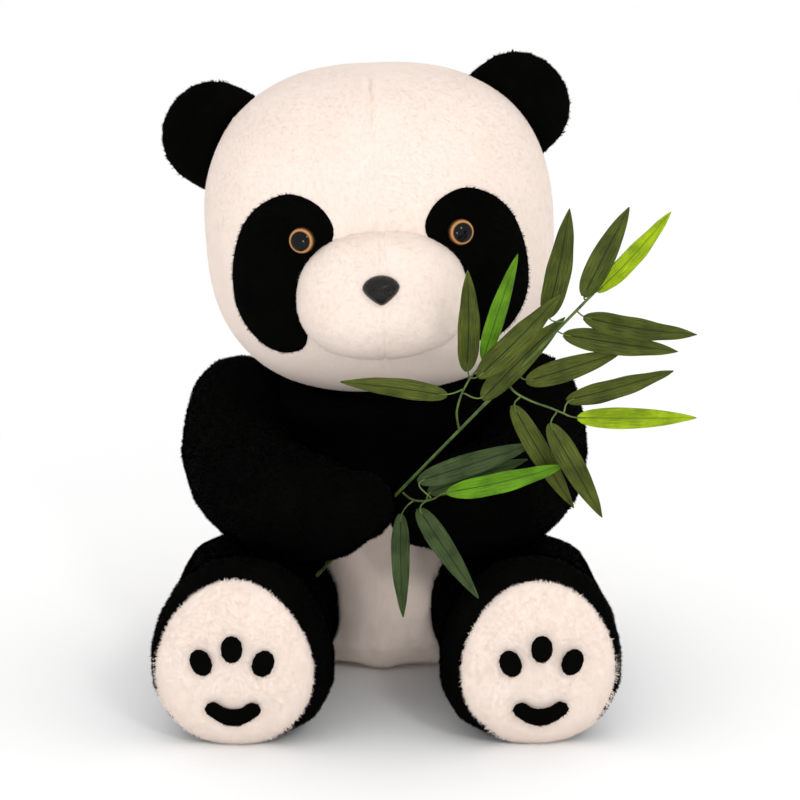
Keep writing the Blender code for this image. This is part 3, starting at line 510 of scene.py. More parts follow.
WHITE = plush_look("cream_plush", (0.858, 0.742, 0.666), (0.838, 0.718, 0.641), 0.06)
BLACK = plush_look("black_plush", (0.0019, 0.0018, 0.0016), (0.0012, 0.0011, 0.0010), 0.0, 0.02)
DARK_LEAF = leaf_look("dark_leaf", (0.080, 0.098, 0.012), (0.014, 0.026, 0.003),
                      (0.010, 0.018, 0.003))
GREY_LEAF = leaf_look("grey_leaf", (0.052, 0.082, 0.026), (0.014, 0.028, 0.008),
                      (0.010, 0.018, 0.006))
LIME_LEAF = leaf_look("lime_leaf", (0.32, 0.44, 0.006), (0.13, 0.26, 0.004), (0.08, 0.16, 0.004))
GREEN_LEAF = leaf_look("green_leaf", (0.115, 0.27, 0.008), (0.045, 0.14, 0.004),
                       (0.03, 0.08, 0.003))
STEM_GREEN = stem_look()
EYE = eye_look()
NOSE = nose_look()
FILLING = plain_look("filling", (0.92, 0.92, 0.90), (0.80, 0.80, 0.78), 1.0, 120.0)
WASHER = plain_look("washer_plastic", (0.86, 0.86, 0.84), (0.80, 0.80, 0.78), 0.4, 200.0)


# ---- the head's form


def rounded_places(directions, radii, power, centre=(0, 0, 0)):
    """Points of a squarish ellipsoid in the given directions."""
    size = (np.abs(directions) ** power).sum(axis=1, keepdims=True) ** (1.0 / power)
    return np.asarray(centre) + directions / size * np.asarray(radii)


def ring_quads(count, rings):
    """Quads between rings of count points each."""
    return np.array([
        (ring * count + step, (ring + 1) * count + step,
         (ring + 1) * count + (step + 1) % count, ring * count + (step + 1) % count)
        for ring in range(rings) for step in range(count)
    ])


def sphere_grid(segments, rings):
    """Unit directions of a sphere with its poles at the top and bottom, with its quads."""
    turns = np.arange(segments) * 2 * pi / segments
    heights = (np.arange(rings + 1)) * pi / rings
    height, turn = np.meshgrid(heights, turns, indexing="ij")
    directions = np.stack((np.sin(height) * np.cos(turn), np.sin(height) * np.sin(turn),
                           np.cos(height)), axis=-1).reshape(-1, 3)
    return directions, ring_quads(segments, rings)


def to_head(places):
    """World points in the head's own frame."""
    inverse = np.array(HEAD_FRAME.inverted())
    return places @ inverse[:3, :3].T + inverse[:3, 3]


def from_head(places):
    matrix = np.array(HEAD_FRAME)
    return places @ matrix[:3, :3].T + matrix[:3, 3]


def grid_mesh(name, places, quads):
    mesh = build_mesh(name, places, quads.ravel(), np.full(len(quads), 4), None)
    edited(mesh, lambda form: bmesh.ops.remove_doubles(form, verts=form.verts, dist=0.000001))
    mesh.shade_smooth()
    return mesh


def head_depth(x, z):
    """Y of the head's front at x, z in its own frame."""
    a, b, c = HEAD_RADII
    rest = 1.0 - np.abs(x / a) ** HEAD_POWER - np.abs(z / c) ** HEAD_POWER
    return -b * np.maximum(rest, 1e-6) ** (1.0 / HEAD_POWER)


def slope(place, radii, power):
    direction = [
        (1 if value > 0 else -1) * abs(value / radius) ** (power - 1) / radius
        for value, radius in zip(place, radii)
    ]
    return Vector(direction).normalized()


def facing(place, direction):
    """A frame at place whose Z axis is direction and whose Y axis is as near up as it can be."""
    forward = direction.normalized()
    across = Vector((0, 0, 1)).cross(forward).normalized()
    upwards = forward.cross(across)
    rotation = Matrix((across, upwards, forward)).transposed().to_4x4()
    return Matrix.Translation(place) @ rotation


def eye_frame(side):
    x, z = EYE_PLACE[side]
    place = Vector((x, float(head_depth(np.array(x), np.array(z))), z))
    return HEAD_FRAME @ facing(place, slope(place, HEAD_RADII, HEAD_POWER))


def nose_frame():
    _, b, c = MUZZLE_RADII
    height = NOSE_HEIGHT_ON_MUZZLE
    y = -b * (1.0 - abs(height / c) ** MUZZLE_POWER) ** (1.0 / MUZZLE_POWER)
    place = Vector((0, y, height))
    direction = slope(place, MUZZLE_RADII, MUZZLE_POWER)
    return HEAD_FRAME @ facing(MUZZLE_CENTRE + place, direction)


def between(a, b, c, d, t):
    """A point on the smooth line from b to c, with a before them and d after."""
    return 0.5 * (2 * b + (c - a) * t + (2 * a - 5 * b + 4 * c - d) * t**2
                  + (3 * b - a - 3 * c + d) * t**3)


def smooth_outline(points, steps):
    """A closed smooth line through the points."""
    points = np.asarray(points)
    made = []
    for index in range(len(points)):
        a, b, c, d = (points[(index + shift) % len(points)] for shift in (-1, 0, 1, 2))
        made += [between(a, b, c, d, step / steps) for step in range(steps)]
    return np.array(made)


def outline_distance(x, z, outline):
    """How far points are outside a closed outline; negative inside it."""
    start, end = outline, np.roll(outline, -1, axis=0)
    edge = end - start
    point = np.stack((x, z), axis=1)[:, None, :]
    share = ((point - start) * edge).sum(axis=2) / (edge**2).sum(axis=1)
    nearest = start + np.clip(share, 0, 1)[..., None] * edge
    distance = np.linalg.norm(point - nearest, axis=2).min(axis=1)
    crosses = (start[:, 1] > point[..., 1]) != (end[:, 1] > point[..., 1])
    where = start[:, 0] + (point[..., 1] - start[:, 1]) / np.where(edge[:, 1] == 0, 1e-9,
                                                                  edge[:, 1]) * edge[:, 0]
    inside = (crosses & (point[..., 0] < where)).sum(axis=1) % 2 == 1
    return np.where(inside, -distance, distance)


OUTLINES = {
    side: smooth_outline([(-sign * x + PATCH_SHIFT[side], z) for x, z in PATCH_OUTLINE], 4)
    for side, sign in SIDES.items()
}


def inside_rounded(places, centre, radii, power, grow):
    local = np.abs((places - np.asarray(centre)) / (np.asarray(radii) * grow))
    return (local**power).sum(axis=1) < 1.0


def under_muzzle(local):
    return inside_rounded(local, MUZZLE_CENTRE, MUZZLE_RADII, MUZZLE_POWER, 0.97)


def beside_patches(local, reach):
    """True on the head's cover, more than reach outside the two dark patches."""
    front = local[:, 1] < 0
    clear = np.ones(len(local), bool)
    for side in SIDES:
        away = outline_distance(local[:, 0], local[:, 2], OUTLINES[side])
        clear &= ~(front & (away < PATCH_SPREAD[side] + reach))
    return clear


def beside_eye(places, side, reach):
    middle = np.array(eye_frame(side).translation)
    return np.linalg.norm(places - middle, axis=1) > reach


def build_head():
    directions, quads = sphere_grid(168, 104)
    local = rounded_places(directions, HEAD_RADII, HEAD_POWER)
    lumps = waves(local, 11, 0.16) * 0.0010
    seam = np.exp(-((local[:, 0] / 0.0022) ** 2)) * 0.0011
    inset = np.minimum(PILE_ROOM + seam - lumps, CORE_INSET - STUFFING_GAP)
    local = local - unit(local) * inset[:, None]
    for side, sign in SIDES.items():
        middle = local[quads].mean(axis=1)[:, 0] * sign > 0
        skin = grid_mesh(f"head_{side}_skin", from_head(local), quads[middle])
        skin = without_loose(skin)

        def keep(places):
            own = to_head(places)
            return beside_patches(own, 0.0) & ~under_muzzle(own)

        def ends(tips):
            return beside_patches(to_head(tips), -0.0010)

        def nap(places):
            own = to_head(places)
            away = own * np.array([0.9, 0.0, 0.0]) / 0.14
            return away + np.array([0.0, 0.45, -1.0])

        piece = furry(f"head_{side}_plush", skin, WHITE_PILE, nap, WHITE, keep, ends, 13.0,
                      21 + sign)
        settle(piece, "head", "white_plush", f"head_{side}_cover")


def without_loose(mesh):
    def drop(form):
        loose = [v for v in form.verts if not v.link_faces]
        bmesh.ops.delete(form, geom=loose, context="VERTS")

    return edited(mesh, drop)


def settle(piece, body, slot, *replaced):
    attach(piece, body)
    if replaced:
        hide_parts(*replaced)


def build_patches():
    """A dark patch lies on the head's cover, with its edge turned in."""
    for side, sign in SIDES.items():
        outline = OUTLINES[side]
        middle = outline.mean(axis=0)
        outline = outline + unit(outline - middle) * PATCH_SPREAD[side]
        places = []
        for ring in range(PATCH_RINGS + 1):
            share = ring / PATCH_RINGS
            flat = middle + (outline - middle) * max(share, 0.001)
            y = head_depth(flat[:, 0], flat[:, 1])
            lift = 0.0018 - 0.0012 * share**8 - PILE_ROOM
            on_head = np.stack((flat[:, 0], y, flat[:, 1]), axis=1)
            places.append(on_head + unit(on_head) * lift)
        quads = ring_quads(len(outline), PATCH_RINGS)[:, ::-sign]
        mesh = grid_mesh(f"{side}_patch_skin", from_head(np.concatenate(places)), quads)
        mesh = facing_out(mesh, np.array(HEAD_CENTRE))

        def keep(points):
            beside = beside_eye(points, side, EYE_RADIUS + 0.0012)
            return ~under_muzzle(to_head(points)) & beside

        def ends(tips):
            own = to_head(tips)
            return outline_distance(own[:, 0], own[:, 2], outline) < 0.0012

        def nap(points):
            return points - np.array(eye_frame(side).translation) + np.array((0.0, 0.0, -0.012))

        piece = furry(f"{side}_eye_patch_plush", mesh, BLACK_PILE, nap, BLACK, keep, ends, 34.0,
                      31 + sign)
        settle(piece, "head", "black_plush", f"{side}_eye_patch")


def facing_out(mesh, centre):
    """The mesh with its faces turned away from centre."""
    def turn(form):
        form.normal_update()
        outwards = [face.normal.dot(face.calc_center_median() - Vector(centre))
                    for face in form.faces]
        if sum(outwards) < 0:
            bmesh.ops.reverse_faces(form, faces=form.faces)

    return edited(mesh, turn)


def build_muzzle():
    directions, quads = sphere_grid(120, 80)
    local = rounded_places(directions, MUZZLE_RADII, MUZZLE_POWER, MUZZLE_CENTRE)
    away = local - np.array(MUZZLE_CENTRE)
    away[:, 2] *= np.where(away[:, 2] > 0, MUZZLE_BRIDGE, 1.0)
    local = away + np.array(MUZZLE_CENTRE)
    seam = np.exp(-((away[:, 0] / 0.0018) ** 2)) * 0.0010
    swell = waves(local, 5, 0.08) * 0.0006 - seam - PILE_ROOM * 0.5
    local = local + unit(away) * swell[:, None]
    front = local[quads].mean(axis=1)[:, 1] < -0.085
    skin = without_loose(grid_mesh("muzzle_skin", from_head(local), quads[front]))
    nose = np.array(nose_frame().translation)

    def keep(places):
        own = to_head(places)
        inner = inside_rounded(own, (0, 0, 0), HEAD_RADII, HEAD_POWER, 0.99)
        return ~inner & (np.linalg.norm((places - nose) * (0.85, 0.7, 1.0), axis=1) > 0.0105)

    def nap(places):
        return places - nose + np.array([0.0, 0.0, -0.01])

    def longer(places):
        return 1.0 + 0.8 * np.clip((to_head(places)[:, 1] + 0.128) / 0.02, 0, 1)

    piece = furry("muzzle_plush", skin, WHITE_PILE, nap, WHITE, keep, None, 16.0, 41, longer)
    settle(piece, "head", "white_plush", "muzzle")


def button_mesh(name, segments, profile):
    """A turned button along local Z through (radius, z) points, with a flat UV map."""
    form = bmesh.new()
    rings = []
    for radius, height in profile:
        rings.append([form.verts.new((radius * cos(a), radius * sin(a), height))
                      for a in np.arange(segments) * 2 * pi / segments])
    for inner, outer in zip(rings, rings[1:]):
        for step in range(segments):
            following = (step + 1) % segments
            form.faces.new((inner[step], outer[step], outer[following], inner[following]))
    form.faces.new(rings[0])
    form.faces.new(list(reversed(rings[-1])))
    uv = form.loops.layers.uv.new("UVMap")
    reach = max(radius for radius, _ in profile)
    for face in form.faces:
        for loop in face.loops:
            loop[uv].uv = (0.5 + loop.vert.co.x / reach / 2, 0.5 + loop.vert.co.y / reach / 2)
    bmesh.ops.recalc_face_normals(form, faces=form.faces)
    return mesh_of(form, name)


def build_eyes():
    angles = np.linspace(0.04, pi / 2, 18)
    dome = [(EYE_RADIUS * sin(a), EYE_HEIGHT * cos(a)) for a in angles]
    rim = [(EYE_RADIUS, -0.0004), (EYE_RADIUS * 0.93, -0.0010)]
    for side in SIDES:
        mesh = button_mesh(f"{side}_eye_button", 48, dome + rim)
        lift = Matrix.Translation((0, 0, 0.0012))
        mesh.transform(eye_frame(side) @ lift)
        settle(new_piece(f"{side}_eye_button", mesh, EYE), "head", "eye_plastic", f"{side}_eye")


def build_nose():
    """Wide and flat-topped above, narrower below, with two dimples for the nostrils."""
    directions, quads = sphere_grid(96, 64)
    x, y, z = directions.T
    wide = 1.04 - 0.42 * np.clip(0.25 - y, 0, None) ** 1.3
    places = np.stack((NOSE_HALF[0] * x * wide, NOSE_HALF[1] * (y - 0.05), NOSE_DEPTH * z), axis=1)
    for sign in (-1, 1):
        off = (places[:, :2] - (sign * 0.0058, -0.0030)) / (0.0026, 0.0020)
        dent = np.exp(-(off**2).sum(axis=1)) * (places[:, 2] > 0)
        places[:, 2] -= dent * 0.0022
    groove = np.exp(-((places[:, 0] / 0.0009) ** 2)) * (places[:, 1] < -0.002) * (places[:, 2] > 0)
    places[:, 2] -= groove * 0.0008
    places[:, 2] = np.maximum(places[:, 2], -0.0015)
    mesh = grid_mesh("nose_moulding", places, quads)
    mesh.transform(nose_frame())
    settle(new_piece("nose_moulding", mesh, NOSE), "head", "nose_plastic", "nose")


# ---- ears, torso, limbs


EAR_SHIFT = {"right": (-0.0002, 0, 0.0018), "left": (-0.0045, 0, -0.0005)}


def build_ears():
    """Each ear's base reaches into the head's cover."""
    centre = np.array(HEAD_CENTRE)
    for side, sign in SIDES.items():
        joint = JOINTS[f"{side}_ear_bend"]
        pivot = np.array(joint["pos_m"])
        outward = unit(pivot - centre - np.array([0, pivot[1] - centre[1], 0]))
        skin = skin_of(f"{side}_ear", 0.0024, 0.0010, 10)

        def stretch(places, normals):
            height = (places - pivot) @ outward
            pull = np.clip((0.012 - height) / 0.016, 0, 1) ** 1.5 * 0.0120
            dish = np.exp(-(((height - 0.021) / 0.016) ** 2)) * (normals[:, 1] < -0.3) * 0.0030
            moved = places - outward * pull[:, None] + np.array([0, 1.0, 0]) * dish[:, None]
            return moved + EAR_SHIFT[side]

        skin = reshaped(skin, stretch)

        def nap(places):
            return places - (pivot - outward * 0.01)

        piece = furry(f"{side}_ear_plush", skin, BLACK_PILE, nap, BLACK, lean=20.0, seed=51 + sign)
        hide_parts(f"{side}_ear")
        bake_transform(piece)


SHOULDER_CENTRE = (0.0, 0.002, 0.208)
SHOULDER_RADII = (0.108, 0.064, 0.036)
HEAD_REST_GAP = 0.003
YOKE_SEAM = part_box("shoulder_yoke")[0][2]
NECK_SPREAD = 0.022  # the collar's fabric fills the space round the neck ball


def under_head(places):
    """The height of the head's underside above each point, less a small gap."""
    a, b, c = HEAD_RADII
    x, y = places[:, 0] - HEAD_CENTRE.x, places[:, 1] - HEAD_CENTRE.y
    rest = 1.0 - np.abs(x / a) ** HEAD_POWER - np.abs(y / b) ** HEAD_POWER
    drop = c * np.maximum(rest, 0.0) ** (1.0 / HEAD_POWER)
    level = HEAD_CENTRE.z - drop - x * np.tan(HEAD_ROLL) - HEAD_REST_GAP
    return np.where(rest > 0.0, level, 1.0)


def build_torso():
    directions, quads = sphere_grid(48, 32)
    mass = rounded_places(directions, SHOULDER_RADII, 2.2, SHOULDER_CENTRE)
    skin = skin_of("torso_stuffing", 0.0042, CORE_INSET - 0.0016, 10,
                   [grid_mesh("shoulder_mass", mass, quads[:, ::-1])])

    def folds(places, normals):
        low = np.clip((0.14 - places[:, 2]) / 0.10, 0, 1)
        front = np.clip(-places[:, 1] / 0.06, 0, 1)
        creases = (waves(places * (1.0, 0.4, 0.25), 8, 0.045) + 0.7) * 0.0032 * low
        seam = np.exp(-((places[:, 0] / 0.002) ** 2)) * 0.0012 * front
        moved = places + normals * (creases - seam)[:, None]
        moved[:, 2] = np.clip(moved[:, 2], 0.0006, under_head(moved))
        return moved

    skin = reshaped(skin, folds)
    upper, lower = split_mesh(skin, YOKE_SEAM)
    piece = furry("shoulder_plush", upper, BLACK_PILE, (0, -0.2, -1.0), BLACK, seed=61)
    settle(piece, "torso", "black_plush", "shoulder_yoke")

    def above_floor(places):
        return places[:, 2] > 0.002

    piece = furry("belly_plush", lower, WHITE_PILE, (0, -0.2, -1.0), WHITE, above_floor, lean=34.0,
                  seed=62)
    settle(piece, "torso", "white_plush", "lower_body_cover", "seat_panel")
    tail = skin_of("tail", 0.003, -0.0012, 4)
    piece = furry("tail_plush", tail, WHITE_PILE, (0, 0.6, -1.0), WHITE, lean=40.0, seed=63)
    settle(piece, "torso", "white_plush", "tail")


def build_neck():
    """The short dark neck between the shoulders and the head."""
    skin = skin_of("neck_stuffing", 0.003, 0.0, 4)
    middle = np.array(JOINTS["neck_turn"]["pos_m"])

    def widen(places, normals):
        away = (places - middle) * (1.0, 1.0, 0.0)
        return places + unit(away + normals * 0.001 * (1.0, 1.0, 0.0)) * NECK_SPREAD

    piece = furry("neck_plush", reshaped(skin, widen), BLACK_PILE, (0, 0, -1.0), BLACK, seed=65)
    settle(piece, "neck", "black_plush", "neck_stuffing")


def split_mesh(mesh, height):
    """The parts of a mesh above and below a level."""
    made = []
    for clear_outer in (False, True):
        form = bmesh.new()
        form.from_mesh(mesh)
        bmesh.ops.bisect_plane(form, geom=form.verts[:] + form.edges[:] + form.faces[:],
                               plane_co=(0, 0, height), plane_no=(0, 0, 1),
                               clear_inner=not clear_outer, clear_outer=clear_outer)
        made.append(mesh_of(form, mesh.name + ("_lower" if clear_outer else "_upper")))
    return made


SHOULDER_RISE = {"right": 0.011, "left": 0.020}


def build_arms():
    for side, sign in SIDES.items():
        low, high = (np.array(corner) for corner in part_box(f"{side}_arm_cover"))
        shoulder = np.array(JOINTS[f"{side}_shoulder_turn"]["pos_m"])
        paw = np.array((0.0, low[1] + 0.03, (low[2] + high[2]) / 2))
        skin = skin_of(f"{side}_arm_stuffing", 0.0036, CORE_INSET - 0.0014)

        def creases(places, normals):
            bend = np.exp(-(((places[:, 1] + 0.085) / 0.03) ** 2)) * (places[:, 0] * sign < 0.105)
            fold = waves(places * (1.0, 1.0, 0.5), 70 + sign, 0.05) * (0.0008 + 0.0010 * bend)
            top = np.exp(-(((places - shoulder) / (0.05, 0.055, 0.05)) ** 2).sum(axis=1) ** 1.5)
            rise = top * np.clip((places[:, 2] - 0.195) / 0.035, 0, 1) * SHOULDER_RISE[side]
            lift = np.array((sign * 0.3, 0, 1.0)) * rise[:, None]
            return places + normals * fold[:, None] + lift

        skin = reshaped(skin, creases)
        piece = furry(f"{side}_arm_plush", skin, BLACK_PILE, paw - shoulder, BLACK, lean=34.0,
                      seed=71 + sign)
        settle(piece, f"{side}_arm_body", "black_plush", f"{side}_arm_cover")


THIGH_SPREAD = {"right": 0.0075, "left": 0.0120}
THIGH_RISE = 0.013


def foot_axes(side):
    sign, turn = SIDES[side], LEG_TURN[side]
    forward = np.array((sign * sin(turn), -cos(turn), 0.0))
    outwards = np.array((sign * cos(turn), sin(turn), 0.0))
    return forward, outwards


def build_legs():
    for side, sign in SIDES.items():
        forward, outwards = foot_axes(side)
        low, high = (np.array(corner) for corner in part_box(f"{side}_sole"))
        middle = (low + high) / 2
        hip = np.array(JOINTS[f"{side}_hip_turn"]["pos_m"])
        skin = skin_of(f"{side}_leg_stuffing", 0.0036, CORE_INSET - 0.0008, 8)

        def shape(places, normals):
            fold = waves(places * (1.0, 0.6, 1.0), 80 + sign, 0.07) * 0.0009
            ahead, aside = (places - hip) @ forward, (places - hip) @ outwards
            thigh = np.exp(-(((ahead - 0.085) / 0.07) ** 4))
            outer = np.clip((aside + 0.01) / 0.05, 0, 1)
            upper = np.clip((places[:, 2] - 0.03) / 0.06, 0, 1)
            moved = places + normals * fold[:, None]
            moved += outwards * (thigh * outer * THIGH_SPREAD[side])[:, None]
            moved[:, 2] += thigh * outer * upper * THIGH_RISE
            moved[:, 2] = np.maximum(moved[:, 2], 0.0004)
            return moved

        skin = reshaped(skin, shape)
        front = (middle - hip) @ forward

        def keep(places):
            ahead = (places - hip) @ forward
            across = (places - middle) @ outwards / SOLE_HALF[0]
            up = (places[:, 2] - middle[2]) / SOLE_HALF[1]
            covered = (ahead > front - 0.014) & (across**2 + up**2 < 0.72)
            return ~covered & (places[:, 2] > 0.0015)

        piece = furry(f"{side}_leg_plush", skin, BLACK_PILE, forward + (0, 0, -0.25), BLACK, keep,
                      None, 32.0, 81 + sign)
        settle(piece, f"{side}_leg_body", "black_plush", f"{side}_leg_cover")
        build_sole(side, middle, forward, outwards)


def build_sole(side, middle, forward, outwards):
    """The white sole bulges forward, and its pile combs out over the dark rim."""
    sign = SIDES[side]
    start = middle - forward * (SOLE_DEPTH / 2) - np.array((0, 0, SOLE_DROP))
    places = []
    for ring in range(SOLE_RINGS + 1):
        share = max(ring / SOLE_RINGS, 0.002)
        for step in range(SOLE_STEPS):
            turn = 2 * pi * step / SOLE_STEPS
            x = cos(turn) * share * SOLE_HALF[0] * (1 - SOLE_EGG * sin(turn) * share)
            z = sin(turn) * share * SOLE_HALF[1]
            rise = SOLE_BULGE * (1 - share**2.6) ** 0.5 - 0.0015 * share**10
            places.append(start + outwards * x + np.array((0, 0, z)) + forward * rise)
    places = np.array(places)
    places += forward * (waves(places, 90 + sign, 0.06) * 0.0008)[:, None]
    skin = grid_mesh(f"{side}_sole_skin", places, ring_quads(SOLE_STEPS, SOLE_RINGS))
    mesh = facing_out(skin, start - forward)
    trees = [tree_of(f"{side}_{pad}", PAD_SHRINK) for pad in PADS]

    def keep(points):
        ok = points[:, 2] > 0.002
        for tree in trees:
            rays = (tree.ray_cast(Vector(p - forward * 0.02), Vector(forward)) for p in points)
            ok &= ~np.array([distance is not None for _, _, _, distance in rays])
        return ok

    def nap(points):
        return points - (start + np.array((0, 0, 0.012)))

    def longer(points):
        aside = (points - start) @ outwards / SOLE_HALF[0]
        up = (points[:, 2] - start[2]) / SOLE_HALF[1]
        return 1.0 + 0.35 * np.clip((np.hypot(aside, up) - 0.8) / 0.2, 0, 1)

    piece = furry(f"{side}_sole_plush", mesh, SOLE_PILE, nap, WHITE, keep, None, 20.0,
                  91 + sign, longer)
    settle(piece, f"{side}_leg_body", "white_plush", f"{side}_sole")
    for pad in PADS:
        node = f"{side}_{pad}"
        skin = skin_of(node, 0.0007, 0.0004, 4)
        piece = furry(f"{node}_plush", skin, PAD_PILE, (0, 0, -1.0), BLACK, lean=22.0, seed=95)
        settle(piece, f"{side}_leg_body", "black_plush", node)


# ---- bamboo


def tube(name, points, radii, look, resolution=4):
    curve = bpy.data.curves.new(name, "CURVE")
    curve.dimensions = "3D"
    curve.bevel_depth = 1.0
    curve.bevel_resolution = resolution
    curve.use_fill_caps = True
    spline = curve.splines.new("POLY")
    spline.points.add(len(points) - 1)
    for point, place, radius in zip(spline.points, points, radii):
        point.co = (*place, 1.0)
        point.radius = radius
    curve.materials.append(look)
    piece = bpy.data.objects.new(name, curve)
    bpy.context.scene.collection.objects.link(piece)
    return piece


def through(points, steps):
    """A smooth open line through the points."""
    points = [np.asarray(p, float) for p in points]
    last = len(points) - 1
    made = []
    for index in range(last):
        a, b, c, d = (points[max(0, min(last, index + shift))] for shift in (-1, 0, 1, 2))
        made += [between(a, b, c, d, step / steps) for step in range(steps)]
    made.append(points[last])
    return np.array(made)


def bezier(start, first, second, end, steps):
    t = np.linspace(0, 1, steps + 1)[:, None]
    return ((1 - t) ** 3 * start + 3 * (1 - t) ** 2 * t * first + 3 * (1 - t) * t**2 * second
            + t**3 * end)


def leaf_shape(share):
    """Half width along a blade as a share of its widest: full near a third, then a long point."""
    return (share / 0.36) ** 0.45 * ((1 - share) / 0.64) ** 0.8


def blade_mesh(name, base, along, across, face, length, width, seed):
    """A creased, gently arched blade, with a UV map across and along it."""
    rows, half = 30, 5
    rng = np.random.default_rng(seed)
    droop, twist, wave = rng.uniform(0.002, 0.006), rng.uniform(-0.25, 0.25), rng.uniform(0, 6)
    form = bmesh.new()
    uv = form.loops.layers.uv.new("UVMap")
    grid, places = [], {}
    for row in range(rows + 1):
        share = row / rows
        wide = width / 2 * max(leaf_shape(min(max(share, 0.004), 0.996)), 0.02)
        line = []
        for column in range(-half, half + 1):
            side = column / half
            turn = twist * share
            edge = across * cos(turn) + face * sin(turn)
            fold = 0.0016 * (1 - abs(side)) * min(1.0, wide / width * 3)
            ripple = 0.0007 * abs(side) * sin(wave + share * 19 + side * 1.5)
            arch = -droop * sin(share * pi) + ripple
            vertex = form.verts.new(base + along * (share * length) + edge * (side * wide)
                                    + face * (arch + fold))
            places[vertex] = ((side + 1) / 2, share)
            line.append(vertex)
        grid.append(line)
    for row in range(rows):
        for column in range(2 * half):
            face_made = form.faces.new((grid[row][column], grid[row][column + 1],
                                        grid[row + 1][column + 1], grid[row + 1][column]))
            for loop in face_made.loops:
                loop[uv].uv = places[loop.vert]
    return mesh_of(form, name)


def leaf_frame(node):
    """Base, directions, length and width of a CAD blade, from its own points."""
    verts = arrays(NODES[node].data)[0].astype(float)
    centre = (verts.max(axis=0) + verts.min(axis=0)) / 2
    _, _, axes = np.linalg.svd(verts - verts.mean(axis=0), full_matrices=False)
    along = axes[0]
    reach = (verts - centre) @ along
    mean = reach.mean() - (reach.max() + reach.min()) / 2
    if mean > 0:
        along, reach = -along, -reach
    length = reach.max() - reach.min()
    near = verts[reach < reach.min() + length * 0.02]
    base = near.mean(axis=0)
    tip = verts[reach > reach.max() - length * 0.02].mean(axis=0)
    along = unit(tip - base)
    across = unit(axes[1] - along * (axes[1] @ along))
    face = np.cross(across, along)
    if face[1] > 0:
        across, face = -across, -face
    width = np.ptp((verts - centre) @ across)
    return Vector(base), Vector(along), Vector(across), Vector(-face), length, width


def build_leaf(name, place, seed):
    base, along, across, face, length, width = place
    looks = ((GREEN_LEAVES, GREEN_LEAF), (LIME_LEAVES, LIME_LEAF), (GREY_LEAVES, GREY_LEAF))
    look = next((look for names, look in looks if name in names), DARK_LEAF)
    mesh = blade_mesh(name + "_blade", base, along, across, face, length, width, seed)
    piece = new_piece(name + "_blade", mesh, look)
    thickness = piece.modifiers.new("cloth", "SOLIDIFY")
    thickness.thickness = 0.0006
    thickness.offset = 0.0
    slot = "lime_leaf" if name in LIME_LEAVES else "dark_leaf"
    settle(piece, "bamboo", slot, *([name] if name in NODES else []))


def build_bamboo():
    lines = {"stem": through(STEM, 24)}
    for name, points in TWIGS.items():
        lines[name] = through(points, 6)
        radii = np.linspace(TWIG_RADIUS, TWIG_RADIUS * 0.75, len(lines[name]))
        piece = tube(name + "_wire", lines[name], radii, STEM_GREEN)
        settle(piece, "bamboo", "stem_plastic", name)
    travel = np.linspace(0, 1, len(lines["stem"]))
    joints = np.abs(((travel * 9) % 1.0) - 0.5) > 0.44
    radii = STEM_RADIUS * (1.0 - 0.25 * travel) * np.where(joints, 1.22, 1.0)
    piece = tube("stem_wire", lines["stem"], radii, STEM_GREEN, 6)
    settle(piece, "bamboo", "stem_plastic", "main_stem")

    places = {name: leaf_frame(name) for name in sorted(NODES) if name.startswith("leaf_")}
    for name, (base, tip, width) in EXTRA_LEAVES.items():
        along = (Vector(tip) - Vector(base)).normalized()
        across = along.cross(Vector((0, -1, 0))).normalized()
        length = (Vector(tip) - Vector(base)).length
        places[name] = (Vector(base), along, across, across.cross(along), length, width)
    wires = np.concatenate(list(lines.values()))
    wire_ways = np.concatenate([unit(np.gradient(line, axis=0)) for line in lines.values()])
    for seed, (name, place) in enumerate(places.items()):
        build_leaf(name, place, 200 + seed)
        base, along = np.array(place[0]), np.array(place[1])
        nearest = np.argmin(np.linalg.norm(wires - base, axis=1))
        near, end = wires[nearest], base + along * 0.006
        pull = np.linalg.norm(near - base) * 0.5
        onward = wire_ways[nearest] * pull + near
        points = bezier(near, onward, base - along * pull, end, 10)
        radii = np.linspace(0.0007, 0.0005, len(points))
        piece = tube(name + "_stalk", points, radii, STEM_GREEN, 3)
        settle(piece, "bamboo", "stem_plastic")


def dress_inner_nodes():
    """Filling and washers stay as the CAD has them, with their own materials."""
    for name, node in NODES.items():
        for ending, look in (("stuffing", FILLING), ("washer", WASHER)):
            if name.endswith(ending):
                node.data.materials.clear()
                node.data.materials.append(look)


# ---- the set


def area_light(name, place, target, size, power):
    data = bpy.data.lights.new(name, "AREA")
    data.shape = "DISK"
    data.size = size
    data.energy = power
    light = bpy.data.objects.new(name, data)
    light.location = place
    direction = Vector(target) - Vector(place)
    light.rotation_euler = direction.to_track_quat("-Z", "Y").to_euler()
    bpy.context.scene.collection.objects.link(light)


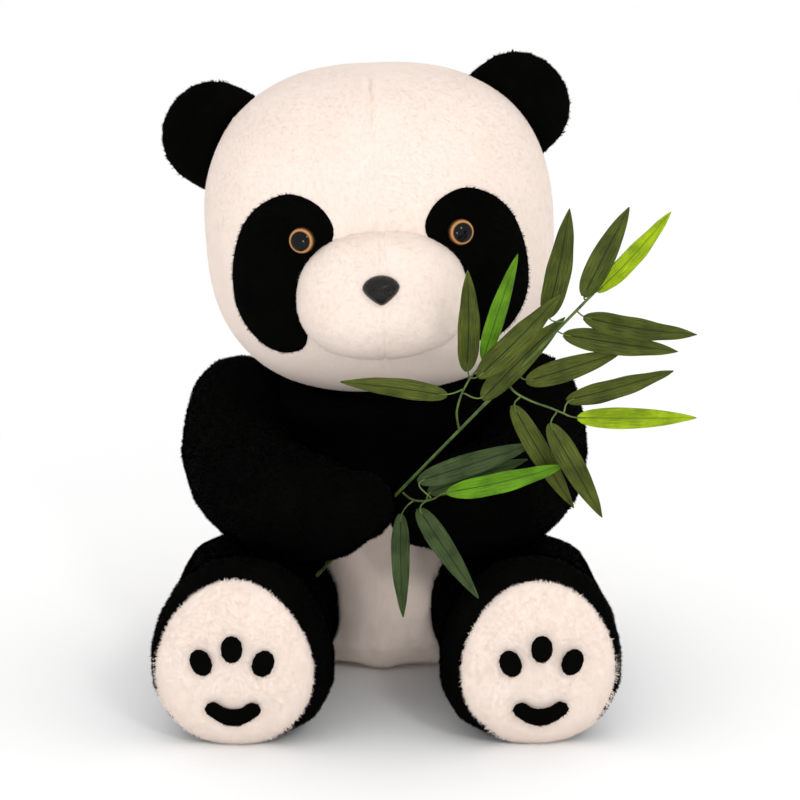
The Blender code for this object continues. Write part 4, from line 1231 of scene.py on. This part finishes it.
WORLD_STRENGTH = 1.02
LAMPS = {  # place, target, size and power
    "key": ((0.8, -2.1, 1.5), (0, -0.05, 0.25), 0.45, 9.5),
    "fill": ((-0.3, -2.4, 0.25), (0, -0.05, 0.22), 0.4, 6.5),
}
FLOOR_RADIUS = 40.0
FLOOR_GAP = 0.0004  # between the toy's underside and the floor
CAMERA_PLACE = (0.0136, -2.0, 0.66)
CAMERA_DOWN = 12.6  # degrees below level
CAMERA_LENS = 108.0


def build_set():
    scene = bpy.context.scene
    world = bpy.data.worlds.new("studio")
    world.use_nodes = True
    background = world.node_tree.nodes["Background"]
    background.inputs["Color"].default_value = (1.0, 1.0, 1.0, 1.0)
    background.inputs["Strength"].default_value = WORLD_STRENGTH
    scene.world = world
    scene.view_settings.view_transform = "Standard"
    for name, settings in LAMPS.items():
        area_light(name, *settings)

    form = bmesh.new()
    bmesh.ops.create_circle(form, cap_ends=True, segments=64, radius=FLOOR_RADIUS)
    mesh = bpy.data.meshes.new("floor")
    form.to_mesh(mesh)
    form.free()
    look, tree, shader = nodes_of("pale_floor", 0.9)
    place = tree.nodes.new("ShaderNodeTexCoord").outputs["Object"]
    stops = ((0.3, (0.975, 0.975, 0.975)), (0.7, (0.985, 0.985, 0.985)))
    colour = ramp(tree, noise(tree, place, 3.0), stops)
    tree.links.new(colour, shader.inputs["Base Color"])
    shader.inputs["Specular IOR Level"].default_value = 0.1
    floor = new_piece("floor", mesh, look)
    floor.location = (0, 0, -FLOOR_GAP)

    data = bpy.data.cameras.new("camera")
    data.lens = CAMERA_LENS
    data.sensor_width = 36.0
    data.clip_end = 50.0
    camera = bpy.data.objects.new("camera", data)
    camera.location = CAMERA_PLACE
    camera.rotation_euler = (radians(90 - CAMERA_DOWN), 0, 0)
    scene.collection.objects.link(camera)
    scene.camera = camera


build_set()
build_head()
build_patches()
build_muzzle()
build_eyes()
build_nose()
build_ears()
build_torso()
build_neck()
build_arms()
build_legs()
build_bamboo()
dress_inner_nodes()
